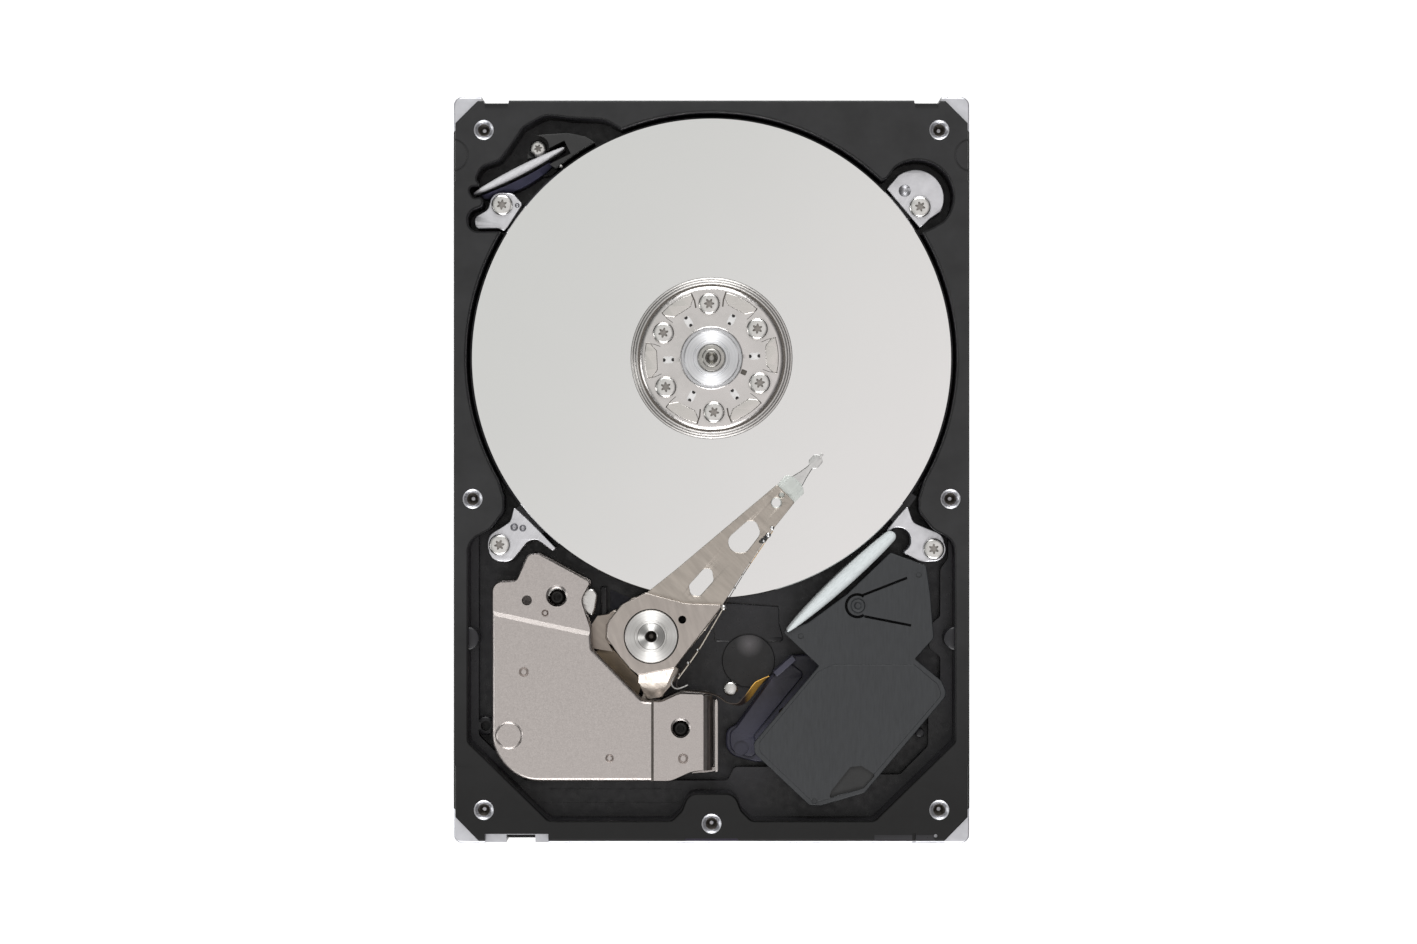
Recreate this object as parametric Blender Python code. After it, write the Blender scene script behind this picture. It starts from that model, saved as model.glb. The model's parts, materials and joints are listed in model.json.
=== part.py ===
"""A 3.5 inch hard disk drive with its cover off, as an assembly of separate pieces.

Origin: the centre of the footprint, on the plane that the drive stands on. +Y runs along the length,
away from the connector end, and +Z points out of the open top. Every size below is in millimetres,
and MM turns it into Blender's metres when a mesh is made.
"""

import math

import bmesh
import bpy
from mathutils import Matrix, Vector

MM = 0.001

# Outside of the drive
WIDTH = 101.6
LENGTH = 147.0
DECK_TOP = 25.3          # the cover, which is off, brings this to 26.1
BODY_TOP = 24.2          # bare corners, a step below the deck
CORNER_RADIUS = 1.6
HALF_WIDTH = WIDTH / 2
HALF_LENGTH = LENGTH / 2

# Floors inside the casting
BAY_FLOOR = 7.2
LEDGE_FLOOR = 12.0
WELL_FLOOR = 7.6
TAB_FLOOR = 10.3
MOTOR_FLOOR = 5.2
BOARD_CEILING = 4.6
OVER = 3.0               # how far a cutter runs past the face that it opens

# Spindle and platters
SPINDLE = (0.0, 22.1)
PLATTER_RADIUS = 47.5
PLATTER_BORE = 12.5
PLATTER_THICK = 1.27
PLATTER_PITCH = 4.6
TOP_PLATTER = 20.4       # upper face of the top platter
PLATTERS = 3
WELL_RADIUS = 48.4
HUB_RADIUS = 12.4
FLANGE_RADIUS = 15.4
SCREW_CIRCLE = 10.7

# Actuator
PIVOT = (-11.9, -32.8)
PIVOT_TO_SPINDLE = math.dist(PIVOT, SPINDLE)
ARM_ANGLE = math.radians(46.7)
ARM_THICK = 1.0
HEAD_REACH = 47.5
COIL_LOW, COIL_HIGH = 13.8, 16.6

# Mounting holes of the 3.5 inch format, from the connector end
SIDE_HOLES_Y = (28.5 - HALF_LENGTH, 70.1 - HALF_LENGTH, 130.1 - HALF_LENGTH)
SIDE_HOLE_Z = 6.35
BOTTOM_HOLES_Y = (41.28 - HALF_LENGTH, 85.73 - HALF_LENGTH)
BOTTOM_HOLE_X = 95.25 / 2
THREAD_RADIUS = 1.6

COVER_HOLES = [(-44.8, 66.9), (44.8, 66.9), (-47.0, -5.7), (47.0, -5.7),
               (-44.8, -66.9), (44.8, -66.9), (0.0, -69.6)]
TAB_SCREWS = [(-41.4, 52.4), (41.2, 52.0), (-41.9, -14.8), (43.9, -15.6)]
FILTER_SCREW = (-34.35, 63.7)
GAP = 0.2                # kept between pieces that rest on each other


# ---------------------------------------------------------------- outlines

def arc(x, y, radius, start, end, steps=8):
    """Points on an arc from start to end, in degrees."""
    angles = [math.radians(start + (end - start) * i / steps) for i in range(steps + 1)]
    return [(x + radius * math.cos(a), y + radius * math.sin(a)) for a in angles]


def circle(x, y, radius, steps=24):
    return arc(x, y, radius, 0, 360, steps)[:-1]


def rounded(corners, degrees_per_step=30):
    """An outline from (x, y) or (x, y, radius) corners, each radius a fillet."""
    points = []
    count = len(corners)
    for i, corner in enumerate(corners):
        here = Vector(corner[:2])
        radius = corner[2] if len(corner) > 2 else 0
        before = (Vector(corners[i - 1][:2]) - here).normalized()
        after = (Vector(corners[(i + 1) % count][:2]) - here).normalized()
        half = before.angle(after) / 2
        if not radius or half > math.radians(88):
            points.append(tuple(here))
            continue
        centre = here + (before + after).normalized() * (radius / math.sin(half))
        first = here + before * (radius / math.tan(half)) - centre
        last = here + after * (radius / math.tan(half)) - centre
        turn = first.angle_signed(last)
        steps = max(1, math.ceil(abs(math.degrees(turn)) / degrees_per_step))
        for k in range(steps + 1):
            spoke = first.copy()
            spoke.rotate(Matrix.Rotation(-turn * k / steps, 2))
            points.append(tuple(centre + spoke))
    return points


def box_outline(x0, y0, x1, y1, radius=0):
    return rounded([(x0, y0, radius), (x1, y0, radius), (x1, y1, radius), (x0, y1, radius)])


def mirrored(points):
    """The same points on the other side of the Y axis, in the order that keeps an outline running on."""
    return [(-p[0], *p[1:]) for p in reversed(points)]


def strip(path, width):
    """The outline of a band of this width that follows a path."""
    left, right = [], []
    for i, point in enumerate(path):
        ahead = Vector(path[min(i + 1, len(path) - 1)]) - Vector(path[max(i - 1, 0)])
        side = Vector((-ahead.y, ahead.x)).normalized() * width / 2
        left.append(tuple(Vector(point) + side))
        right.append(tuple(Vector(point) - side))
    return left + right[::-1]


def smooth_path(points, steps=5):
    """A Catmull-Rom curve through the points."""
    path = []
    ends = [points[0], *points, points[-1]]
    for a, b, c, d in zip(ends, ends[1:], ends[2:], ends[3:]):
        for k in range(steps):
            t = k / steps
            path.append(tuple(
                0.5 * (2 * b[i] + (c[i] - a[i]) * t + (2 * a[i] - 5 * b[i] + 4 * c[i] - d[i]) * t * t
                       + (3 * b[i] - a[i] - 3 * c[i] + d[i]) * t ** 3)
                for i in range(2)))
    return path + [tuple(points[-1])]


# ---------------------------------------------------------------- meshes and objects

def finished(bm, name):
    """A welded mesh with its faces pointing out, in metres."""
    bmesh.ops.remove_doubles(bm, verts=bm.verts, dist=0.0005)
    bmesh.ops.recalc_face_normals(bm, faces=bm.faces)
    bmesh.ops.scale(bm, vec=(MM, MM, MM), verts=bm.verts)
    mesh = bpy.data.meshes.new(name)
    bm.to_mesh(mesh)
    bm.free()
    return mesh


def prism(name, outline, low, high, holes=()):
    """A flat plate between two heights, with through holes, made from a filled curve."""
    curve = bpy.data.curves.new(name, "CURVE")
    curve.dimensions = "2D"
    curve.fill_mode = "BOTH"
    curve.extrude = (high - low) / 2
    for loop in [outline, *holes]:
        spline = curve.splines.new("POLY")
        spline.points.add(len(loop) - 1)
        for point, (x, y) in zip(spline.points, loop):
            point.co = (x, y, 0, 1)
        spline.use_cyclic_u = True
    holder = bpy.data.objects.new(name, curve)
    filled = bpy.data.meshes.new_from_object(holder)
    bm = bmesh.new()
    bm.from_mesh(filled)
    bmesh.ops.translate(bm, vec=(0, 0, (high + low) / 2), verts=bm.verts)
    bpy.data.objects.remove(holder)
    bpy.data.curves.remove(curve)
    bpy.data.meshes.remove(filled)
    return finished(bm, name)


def turned(name, profile, x=0.0, y=0.0, steps=48):
    """A closed (radius, height) profile turned round a vertical axis."""
    bm = bmesh.new()
    rings = []
    for radius, height in profile:
        if radius == 0:
            rings.append([bm.verts.new((x, y, height))] * steps)
        else:
            rings.append([bm.verts.new((x + radius * math.cos(2 * math.pi * i / steps),
                                        y + radius * math.sin(2 * math.pi * i / steps), height))
                          for i in range(steps)])
    for k, ring in enumerate(rings):
        above = rings[(k + 1) % len(rings)]
        for i in range(steps):
            j = (i + 1) % steps
            face = list(dict.fromkeys([ring[i], ring[j], above[j], above[i]]))
            if len(face) > 2:
                bm.faces.new(face)
    return finished(bm, name)


def cylinder(name, x, y, radius, low, high, steps=24):
    return prism(name, circle(x, y, radius, steps), low, high)


def screw_mesh(name, x, y, foot, seat, shank, head):
    """A pan head screw with a recess, its head beyond the seat on the side away from the foot."""
    out = 1 if seat > foot else -1
    profile = [(0, foot), (shank, foot), (shank, seat), (head, seat), (head - 0.1, seat + 0.9 * out),
               (0.8, seat + 0.9 * out), (0.8, seat + 0.4 * out), (0, seat + 0.4 * out)]
    return turned(name, profile, x, y, 10)


def material(name, colour, roughness, metallic):
    made = bpy.data.materials.get(name) or bpy.data.materials.new(name)
    made.use_nodes = True
    shader = made.node_tree.nodes["Principled BSDF"]
    shader.inputs["Base Color"].default_value = (*colour, 1)
    shader.inputs["Roughness"].default_value = roughness
    shader.inputs["Metallic"].default_value = metallic
    return made


COATED = ("coated_casting", (0.045, 0.045, 0.047), 0.5, 0.3)
ALUMINIUM = ("aluminium", (0.80, 0.80, 0.81), 0.35, 1.0)
STEEL = ("steel", (0.62, 0.61, 0.59), 0.3, 1.0)
NICKEL = ("nickel_plate", (0.66, 0.63, 0.59), 0.35, 1.0)
MAGNET = ("magnet", (0.45, 0.45, 0.46), 0.4, 1.0)
MIRROR = ("platter", (0.82, 0.82, 0.81), 0.08, 1.0)
COPPER = ("copper_wire", (0.55, 0.27, 0.12), 0.4, 1.0)
BLACK_PLASTIC = ("black_plastic", (0.05, 0.052, 0.055), 0.55, 0.0)
FIBRE = ("filter_fibre", (0.82, 0.85, 0.84), 0.9, 0.0)
FLEX = ("flex_circuit", (0.62, 0.33, 0.06), 0.4, 0.0)
BOARD = ("circuit_board", (0.02, 0.12, 0.06), 0.45, 0.0)
CHIP = ("chip", (0.03, 0.03, 0.032), 0.5, 0.0)
FOAM = ("foam", (0.06, 0.06, 0.06), 0.95, 0.0)
RUBBER = ("rubber", (0.05, 0.05, 0.05), 0.8, 0.0)


def add(name, mesh, finish, parent=None):
    obj = bpy.data.objects.new(name, mesh)
    bpy.context.scene.collection.objects.link(obj)
    obj.parent = parent
    mesh.materials.clear()
    mesh.materials.append(material(*finish))
    mesh.shade_smooth()
    mesh.set_sharp_from_angle(angle=math.radians(30))
    return obj


def empty(name, x, y, turn=0.0):
    made = bpy.data.objects.new(name, None)
    bpy.context.scene.collection.objects.link(made)
    made.location = (x * MM, y * MM, 0)
    made.rotation_euler = (0, 0, turn)
    return made


def combine(target, mesh, operation):
    """A Boolean with a helper that isn't part of the drive."""
    helper = bpy.data.objects.new(f"{target.name}_helper", mesh)
    bpy.context.scene.collection.objects.link(helper)
    helper.parent = target.parent
    helper.hide_render = True
    helper.display_type = "WIRE"
    modifier = target.modifiers.new(operation.lower(), "BOOLEAN")
    modifier.object = helper
    modifier.operation = operation


def cut(target, mesh):
    combine(target, mesh, "DIFFERENCE")


def join(target, mesh):
    combine(target, mesh, "UNION")


# ---------------------------------------------------------------- base casting

def deck_outline():
    """The black deck: cut corners, and sides that step in a little near the ends."""
    right = [(45.0, 72.62), (50.4, 67.3), (50.4, 57.0), (50.7, 56.6), (50.7, -58.0), (50.4, -58.4),
             (50.4, -68.3), (45.8, -73.0)]
    return right + mirrored(right)


def bay_outline():
    """The actuator bay: straight sides, cut corners, and round bosses for three cover screws."""
    right = [*rounded([(0, -63), (32.0, -69.0, 1.2), (47.9, -53.5, 1.2), (47.9, -13.0, 2.5),
                       (44.5, -11.6, 1.0), (40, 0)])[1:-1],
             *arc(48.4, -4.6, 7.7, 245, 150, 10), (38.0, 5.0)]
    boss = arc(0, -69.6, 6.5, 160, 20, 10)
    return [(-7.6, -69.0), *boss, (7.6, -69.0), *right, *mirrored(right)]


def deep_bay_outline():
    return rounded([(-46.6, -12.6, 2), (-46.6, -52.9, 1), (-37.2, -61.9, 1), (3.2, -61.9, 1), (4.6, -59.2, 1),
                    (31.0, -59.2, 1), (32.5, -60.7, 1), (37.6, -60.7, 1), (43.2, -55.4, 1), (43.2, -37.0, 2),
                    (47.2, -36.0, 1), (47.2, -13.2, 2), (38.0, 2.0), (-38.0, 2.0)])


def filter_pocket_outline():
    """The hollow beside the platters that holds the recirculation filter and the first separator tab."""
    return rounded([(-18.0, 66.0), (-21.9, 69.1, 6), (-32.5, 70.0, 5), (-38.3, 66.6, 3), (-40.5, 61.6, 3),
                    (-46.6, 59.8, 3), (-45.6, 55.9, 0.5), (-48.1, 55.6, 0.8), (-46.8, 53.3, 0.8),
                    (-45.1, 53.6, 0.5), (-45.0, 52.0, 1), (-48.1, 50.8, 2.5), (-47.8, 46.9, 2),
                    (-40.5, 46.9), (-30.0, 52.0)])


def corner_pocket_outline():
    """The D-shaped hollow of the second separator tab."""
    return [(30.0, 52.0), (33.6, 57.2), *arc(40.5, 53.9, 7.15, 130, -42, 12), (41.0, 46.6), (36.0, 44.0)]


def base_casting():
    base = add("base_casting",
               prism("base_casting", box_outline(-HALF_WIDTH, -HALF_LENGTH, HALF_WIDTH, HALF_LENGTH,
                                                 CORNER_RADIUS), 0, BODY_TOP), COATED)
    join(base, prism("deck", deck_outline(), 20, DECK_TOP))
    top = DECK_TOP + OVER
    cut(base, prism("bay", bay_outline(), LEDGE_FLOOR, top))
    cut(base, prism("deep_bay", deep_bay_outline(), BAY_FLOOR, LEDGE_FLOOR + 1))
    cut(base, cylinder("well", *SPINDLE, WELL_RADIUS, WELL_FLOOR, top + 0.1, 60))
    cut(base, prism("filter_pocket", filter_pocket_outline(), TAB_FLOOR, top + 0.2))
    cut(base, prism("corner_pocket", corner_pocket_outline(), TAB_FLOOR + 0.1, top + 0.3))
    for x, y in TAB_SCREWS[2:]:
        join(base, cylinder("tab_post", x, y, 2.6, BAY_FLOOR - 1, TAB_FLOOR, 16))
    for x, y in TAB_SCREWS:
        cut(base, cylinder("tab_hole", x, y, 1.15, 7.6, TAB_FLOOR + 1, 8))
    cut(base, cylinder("clip_hole", *FILTER_SCREW, 1.1, 7.6, TAB_FLOOR + 1, 8))
    underside(base)
    motor_seat(base)
    edge_details(base)
    return base


def underside(base):
    """The circuit board's recess, the connector's recess, the far hollow and the PCB screw holes."""
    cut(base, prism("board_recess", box_outline(-45.3, -HALF_LENGTH - OVER, 45.3, 10.4, 1.5), -OVER, BOARD_CEILING))
    cut(base, prism("connector_recess", box_outline(-43.4, -HALF_LENGTH - 2 * OVER, 12.6, -62.6, 0.8), -OVER - 1, 7.4))
    far = [(45.3, 13.5, 2), (45.3, 48.0, 2), (36.0, 66.5, 6), (-36.0, 66.5, 6), (-45.3, 48.0, 2), (-45.3, 13.5, 2)]
    cut(base, prism("far_hollow", rounded(far), -OVER, 3.4))
    for x, y in BOARD_SCREWS:
        cut(base, cylinder("board_hole", x, y, 1.25, BOARD_CEILING - 1, 6.6, 8))
    for side in (-1, 1):
        for y in BOTTOM_HOLES_Y:
            cut(base, cylinder("bottom_hole", side * BOTTOM_HOLE_X, y, THREAD_RADIUS, -1, 5.2, 12))
        for y in SIDE_HOLES_Y:
            hole = cylinder("side_hole", 0, 0, THREAD_RADIUS, -OVER, 3.6, 12)
            hole.transform(Matrix.Translation((side * HALF_WIDTH * MM, y * MM, SIDE_HOLE_Z * MM))
                           @ Matrix.Rotation(-side * math.pi / 2, 4, "Y"))
            cut(base, hole)


def motor_seat(base):
    """A round pad for the motor, its well, and the tube that carries the stator."""
    join(base, cylinder("motor_pad", *SPINDLE, 18.0, 2.6, 6.6, 24))
    cut(base, cylinder("motor_well", *SPINDLE, 16.0, MOTOR_FLOOR, WELL_FLOOR + 1, 24))
    join(base, cylinder("stator_tube", *SPINDLE, 5.2, MOTOR_FLOOR - 1, 12.0, 16))
    cut(base, cylinder("sleeve_bore", *SPINDLE, 4.2, 3.6, 14.0, 16))


def edge_details(base):
    """Cover screw seats, notches along both ends, and the half-moon marks on the sides."""
    for x, y in COVER_HOLES:
        cut(base, turned("cover_hole", [(0, DECK_TOP - 6), (1.1, DECK_TOP - 6), (1.1, DECK_TOP - 0.3),
                                        (2.0, DECK_TOP - 0.25), (2.0, DECK_TOP + 1), (0, DECK_TOP + 1)], x, y, 10))
    for side in (-1, 1):
        x0, x1 = sorted((side * 44.6, side * 39.8))
        cut(base, prism("end_notch", box_outline(x0, 72.1, x1, 80), DECK_TOP - 2.2, DECK_TOP + OVER))
        cut(base, prism("end_shelf", box_outline(x0, 71.3, x1, 80.1), DECK_TOP - 0.4, DECK_TOP + 4))
        cut(base, cylinder("half_moon", side * 51.0, 61.9, 3.2, DECK_TOP - 0.35, DECK_TOP + 2, 16))
        join(base, cylinder("bay_rib", side * 48.2, -33.3, 2.3, LEDGE_FLOOR - 1, DECK_TOP - 4.5, 12))
    cut(base, prism("plug_notch", box_outline(-44.6, -80, -32.1, -71.6), DECK_TOP - 4, DECK_TOP + 5))
    cut(base, prism("plug_window", box_outline(-40.5, -81, -34.8, -72.0), 6.4, DECK_TOP + 6))
    cut(base, prism("middle_notch", box_outline(-5.2, -80, 5.2, -72.5), DECK_TOP - 0.9, DECK_TOP + 5))
    cut(base, prism("right_shelf", box_outline(32.0, -80, 43.8, -71.8), DECK_TOP - 0.4, DECK_TOP + 5))


# ---------------------------------------------------------------- circuit board side

BOARD_SCREWS = [(-41.5, -62.0), (41.5, -66.0), (-41.5, 4.5), (41.5, 4.5)]
BOARD_LOW, BOARD_HIGH = 3.0, 4.2


def board_outline():
    """Straight sides, with a round bay that clears the motor pad."""
    return [(-44.9, -72.9), (-42.8, -72.9), (-42.8, -68.1), (12.2, -68.1), (12.2, -72.9), (44.9, -72.9), (44.9, 9.4), *arc(*SPINDLE, 19.2, -41.4, -138.6, 12), (-44.9, 9.4)]


def circuit_board():
    holes = [circle(x, y, 1.6, 12) for x, y in BOARD_SCREWS]
    add("circuit_board", prism("circuit_board", board_outline(), BOARD_LOW, BOARD_HIGH, holes), BOARD)
    inset = [(-43.8, -61.0), (43.8, -61.0), (43.8, 8.2), *arc(*SPINDLE, 20.6, -42.4, -137.6, 12), (-43.8, 8.2)]
    holes = [circle(x, y, 3.0, 12) for x, y in (BOARD_SCREWS[2], BOARD_SCREWS[3])]
    holes.append(box_outline(13.0, -57.0, 27.0, -47.0, 1))
    add("insulator_sheet", prism("insulator_sheet", inset, BOARD_HIGH + 0.1, BOARD_CEILING - 0.1, holes), FOAM)
    chips = {"controller_chip": (-12.0, -30.0, 7.0, 7.0, 1.4), "memory_chip": (14.0, -30.0, 5.1, 10.5, 1.1)}
    for name, (x, y, half_x, half_y, height) in chips.items():
        outline = box_outline(x - half_x, y - half_y, x + half_x, y + half_y)
        add(name, prism(name, outline, BOARD_LOW - 0.1 - height, BOARD_LOW - 0.1), CHIP)
    for i, (x, y) in enumerate(BOARD_SCREWS, 1):
        add(f"board_screw_{i}", screw_mesh("board_screw", x, y, 6.0, 2.8, 1.0, 2.3), STEEL)


def power_and_data_plug():
    """The serial connector: one housing with a data tongue and a wider power tongue."""
    plug = add("serial_plug", prism("serial_plug", box_outline(-42.3, -73.3, -0.3, -66.0), 0.9, 6.9), BLACK_PLASTIC)
    cut(plug, prism("board_slot", box_outline(-60, -68.4, 20, -60), 2.9, 9.0))
    cut(plug, prism("mouth", box_outline(-40.9, -80, -1.7, -68.9), 1.9, 6.0))
    for x0, x1 in ((-38.6, -17.6), (-14.6, -5.0)):
        join(plug, prism("tongue", box_outline(x0, -73.1, x1, -68.4), 3.4, 4.7))
        join(plug, prism("key", box_outline(x1 - 1.2, -73.1, x1, -68.5), 3.0, 5.6))
    for x in (-42.3, -0.9):
        cut(plug, prism("guide_bevel", box_outline(x - 0.4, -75, x + 1.0, -72.6), 2.6, 5.2))
    block = add("jumper_block", prism("jumper_block", box_outline(2.4, -70.4, 11.6, -66.0), 1.1, 5.9), BLACK_PLASTIC)
    cut(block, prism("board_slot", box_outline(-10, -68.4, 20, -60), 2.9, 9.0))
    for column in range(4):
        for row in range(2):
            x, z = 3.9 + 2.0 * column, 2.2 + 2.0 * row
            join(block, prism("pin", box_outline(x - 0.3, -73.2, x + 0.3, -69.4), z, z + 0.6))


# ---------------------------------------------------------------- spindle and platters

def spindle(axis):
    low_face = TOP_PLATTER - PLATTER_THICK - (PLATTERS - 1) * PLATTER_PITCH
    flange_top = low_face - 0.02
    stack_top = TOP_PLATTER
    hub = [(4.6, 13.4), (4.6, 20.6), (2.9, 20.6), (2.9, 22.2), (5.5, 22.2), (5.5, 21.3), (HUB_RADIUS, 21.3),
           (HUB_RADIUS, flange_top), (FLANGE_RADIUS, flange_top), (FLANGE_RADIUS, 8.2), (13.0, 8.2), (13.0, 5.9),
           (11.2, 5.9), (11.2, 13.4)]
    add("spindle_hub", turned("spindle_hub", hub, steps=24), ALUMINIUM, axis)
    add("rotor_magnet", turned("rotor_magnet", [(9.7, 6.2), (11.0, 6.2), (11.0, 13.0), (9.7, 13.0)], steps=20),
        MAGNET, axis)
    ring = [(PLATTER_BORE, 0), (PLATTER_RADIUS, 0), (PLATTER_RADIUS, PLATTER_THICK), (PLATTER_BORE, PLATTER_THICK)]
    for i, name in enumerate(("platter_lower", "platter_middle", "platter_upper")):
        base = low_face + i * PLATTER_PITCH
        add(name, turned(name, [(r, z + base) for r, z in ring], steps=48), MIRROR, axis)
    for i, name in enumerate(("platter_spacer_lower", "platter_spacer_upper")):
        base = low_face + i * PLATTER_PITCH + PLATTER_THICK + 0.02
        top = base + PLATTER_PITCH - PLATTER_THICK - 0.04
        add(name, turned(name, [(PLATTER_BORE, base), (15.4, base), (15.4, top), (PLATTER_BORE, top)], steps=24),
            ALUMINIUM, axis)
    disk_clamp(axis, stack_top)


def disk_clamp(axis, seat):
    """A dished steel clamp held by six screws, with pressed pads and tooling slots between them."""
    profile = [(6.0, 21.6), (13.2, 21.6), (14.2, seat + 0.02), (15.8, seat + 0.02), (15.4, 21.9), (14.2, 22.2),
               (12.8, 22.5), (6.0, 22.5)]
    clamp = add("disk_clamp", turned("disk_clamp", profile, steps=30), STEEL, axis)
    for k in range(6):
        a = math.radians(92.5 + 60 * k)
        x, y = SCREW_CIRCLE * math.cos(a), SCREW_CIRCLE * math.sin(a)
        cut(clamp, cylinder("screw_hole", x, y, 1.35, 20, 24, 8))
        add(f"clamp_screw_{k + 1}", screw_mesh("clamp_screw", x, y, 21.35, 22.6, 1.1, 2.1), STEEL, axis)


def motor():
    """The fixed half of the motor: laminated core, coils, bearing sleeve and shaft."""
    teeth = 9
    outline = []
    for k in range(teeth):
        a = 360 * k / teeth
        for radius, offset in ((6.4, -20), (6.4, -9.0), (8.3, -6.5), (8.5, -13), (9.35, -13), (9.4, 0), (9.35, 13),
                               (8.5, 13), (8.3, 6.5), (6.4, 9.0)):
            angle = math.radians(a + offset)
            outline.append((SPINDLE[0] + radius * math.cos(angle), SPINDLE[1] + radius * math.sin(angle)))
    bore = circle(*SPINDLE, 5.6, 16)
    add("stator_core", prism("stator_core", outline, 7.4, 10.6, [bore]), STEEL)
    ring = [(6.7, 6.6), (8.2, 6.6), (8.2, 11.4), (6.7, 11.4)]
    winding = add("stator_winding", turned("stator_winding", ring, *SPINDLE, 27), COPPER)
    spokes = []
    for k in range(teeth):
        for radius, offset in ((6.0, -12.0), (9.0, -8.5), (9.0, 8.5), (6.0, 12.0)):
            angle = math.radians(360 * k / teeth + offset)
            spokes.append((SPINDLE[0] + radius * math.cos(angle), SPINDLE[1] + radius * math.sin(angle)))
    cut(winding, prism("tooth_openings", spokes, 7.2, 10.8))
    add("bearing_sleeve", turned("bearing_sleeve", [(2.5, 3.8), (4.0, 3.8), (4.0, 19.6), (2.5, 19.6)], *SPINDLE, 16),
        STEEL)
    shaft = [(0, 3.8), (2.2, 3.8), (2.2, 23.4), (1.2, 23.4), (1.2, 20.0), (0, 20.0)]
    add("spindle_shaft", turned("spindle_shaft", shaft, *SPINDLE, 16), STEEL)


# ---------------------------------------------------------------- separators

def separator_tabs():
    """Four lobes that reach out past the platters, one at each separator screw."""
    return [
        rounded([(-40.3, 48.1, 0.4), (-37.3, 52.6, 0.6), (-39.6, 54.9, 1.6), (-43.4, 54.6, 1.8), (-44.3, 51.3, 1),
                 (-47.0, 49.8, 1), (-46.6, 47.6, 0.9), (-42.2, 47.6, 0.4)]),
        [(34.7, 55.6), *arc(40.3, 53.7, 5.7, 125, -25, 12), (44.2, 49.8), (41.7, 48.0), (40.8, 48.1)],
        rounded([(-39.1, -7.2, 0.5), (-39.9, -10.4, 2), (-44.3, -13.2, 2), (-43.9, -17.8, 2.2), (-39.6, -18.4, 2.2),
                 (-35.2, -13.0, 1.5), (-31.2, -16.0, 0.3), (-30.8, -15.5, 0.3), (-33.7, -12.5), (-36.4, -9.8)]),
        rounded([(38.8, -7.0, 0.5), (39.9, -10.1, 2), (46.0, -12.8, 2.6), (46.6, -18.6, 2.8), (38.0, -16.8, 0.5),
                 (38.4, -15.4, 0.4), (39.9, -14.2, 0.5), (38.6, -11.6, 1.5), (36.2, -10.9, 1.5), (34.5, -12.0, 0.3),
                 (36.2, -9.8)]),
    ]


def tab_link(name, start, end, inner, low, high):
    """A short sector that joins a tab to the ring between the platters."""
    return prism(name, arc(*SPINDLE, 49.0, start, end, 3) + arc(*SPINDLE, inner, end, start, 3), low, high)


def separators():
    for i, name in enumerate(("separator_lower", "separator_upper")):
        middle = TOP_PLATTER - PLATTER_THICK / 2 - (1.5 - i) * PLATTER_PITCH
        low, high = middle - 0.5, middle + 0.5
        ring = arc(*SPINDLE, 47.9, -35, 226, 32) + arc(*SPINDLE, 24.2, 226, -35, 18)
        plate = add(name, prism(name, ring, low, high), ALUMINIUM)
        tab_low = TAB_FLOOR + GAP + (0 if i == 0 else 4.7)
        tab_high = 15.0 if i == 0 else 20.4
        links = ((141.5, 146.5, 46.5), (35, 42, 46.5), (217.5, 226, 46.5), (-42, -34, 43.5))
        for k, outline in enumerate(separator_tabs()):
            join(plate, prism("tab", outline, tab_low, tab_high))
            join(plate, tab_link("link", *links[k], low - 0.05, high + 0.05))
        for x, y in TAB_SCREWS:
            cut(plate, cylinder("tab_screw_hole", x, y, 1.25, 8, 24, 8))
    for i, (x, y) in enumerate(TAB_SCREWS, 1):
        add(f"separator_screw_{i}", screw_mesh("separator_screw", x, y, 8.0, 20.6, 0.9, 2.1), STEEL)


# ---------------------------------------------------------------- actuator

def arm_levels():
    """Middle heights of the arms, lowest first: one under each platter and one over the top one."""
    lowest = TOP_PLATTER - PLATTER_THICK / 2 - (PLATTERS - 0.5) * PLATTER_PITCH
    return [lowest + i * PLATTER_PITCH for i in range(PLATTERS + 1)]


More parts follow.
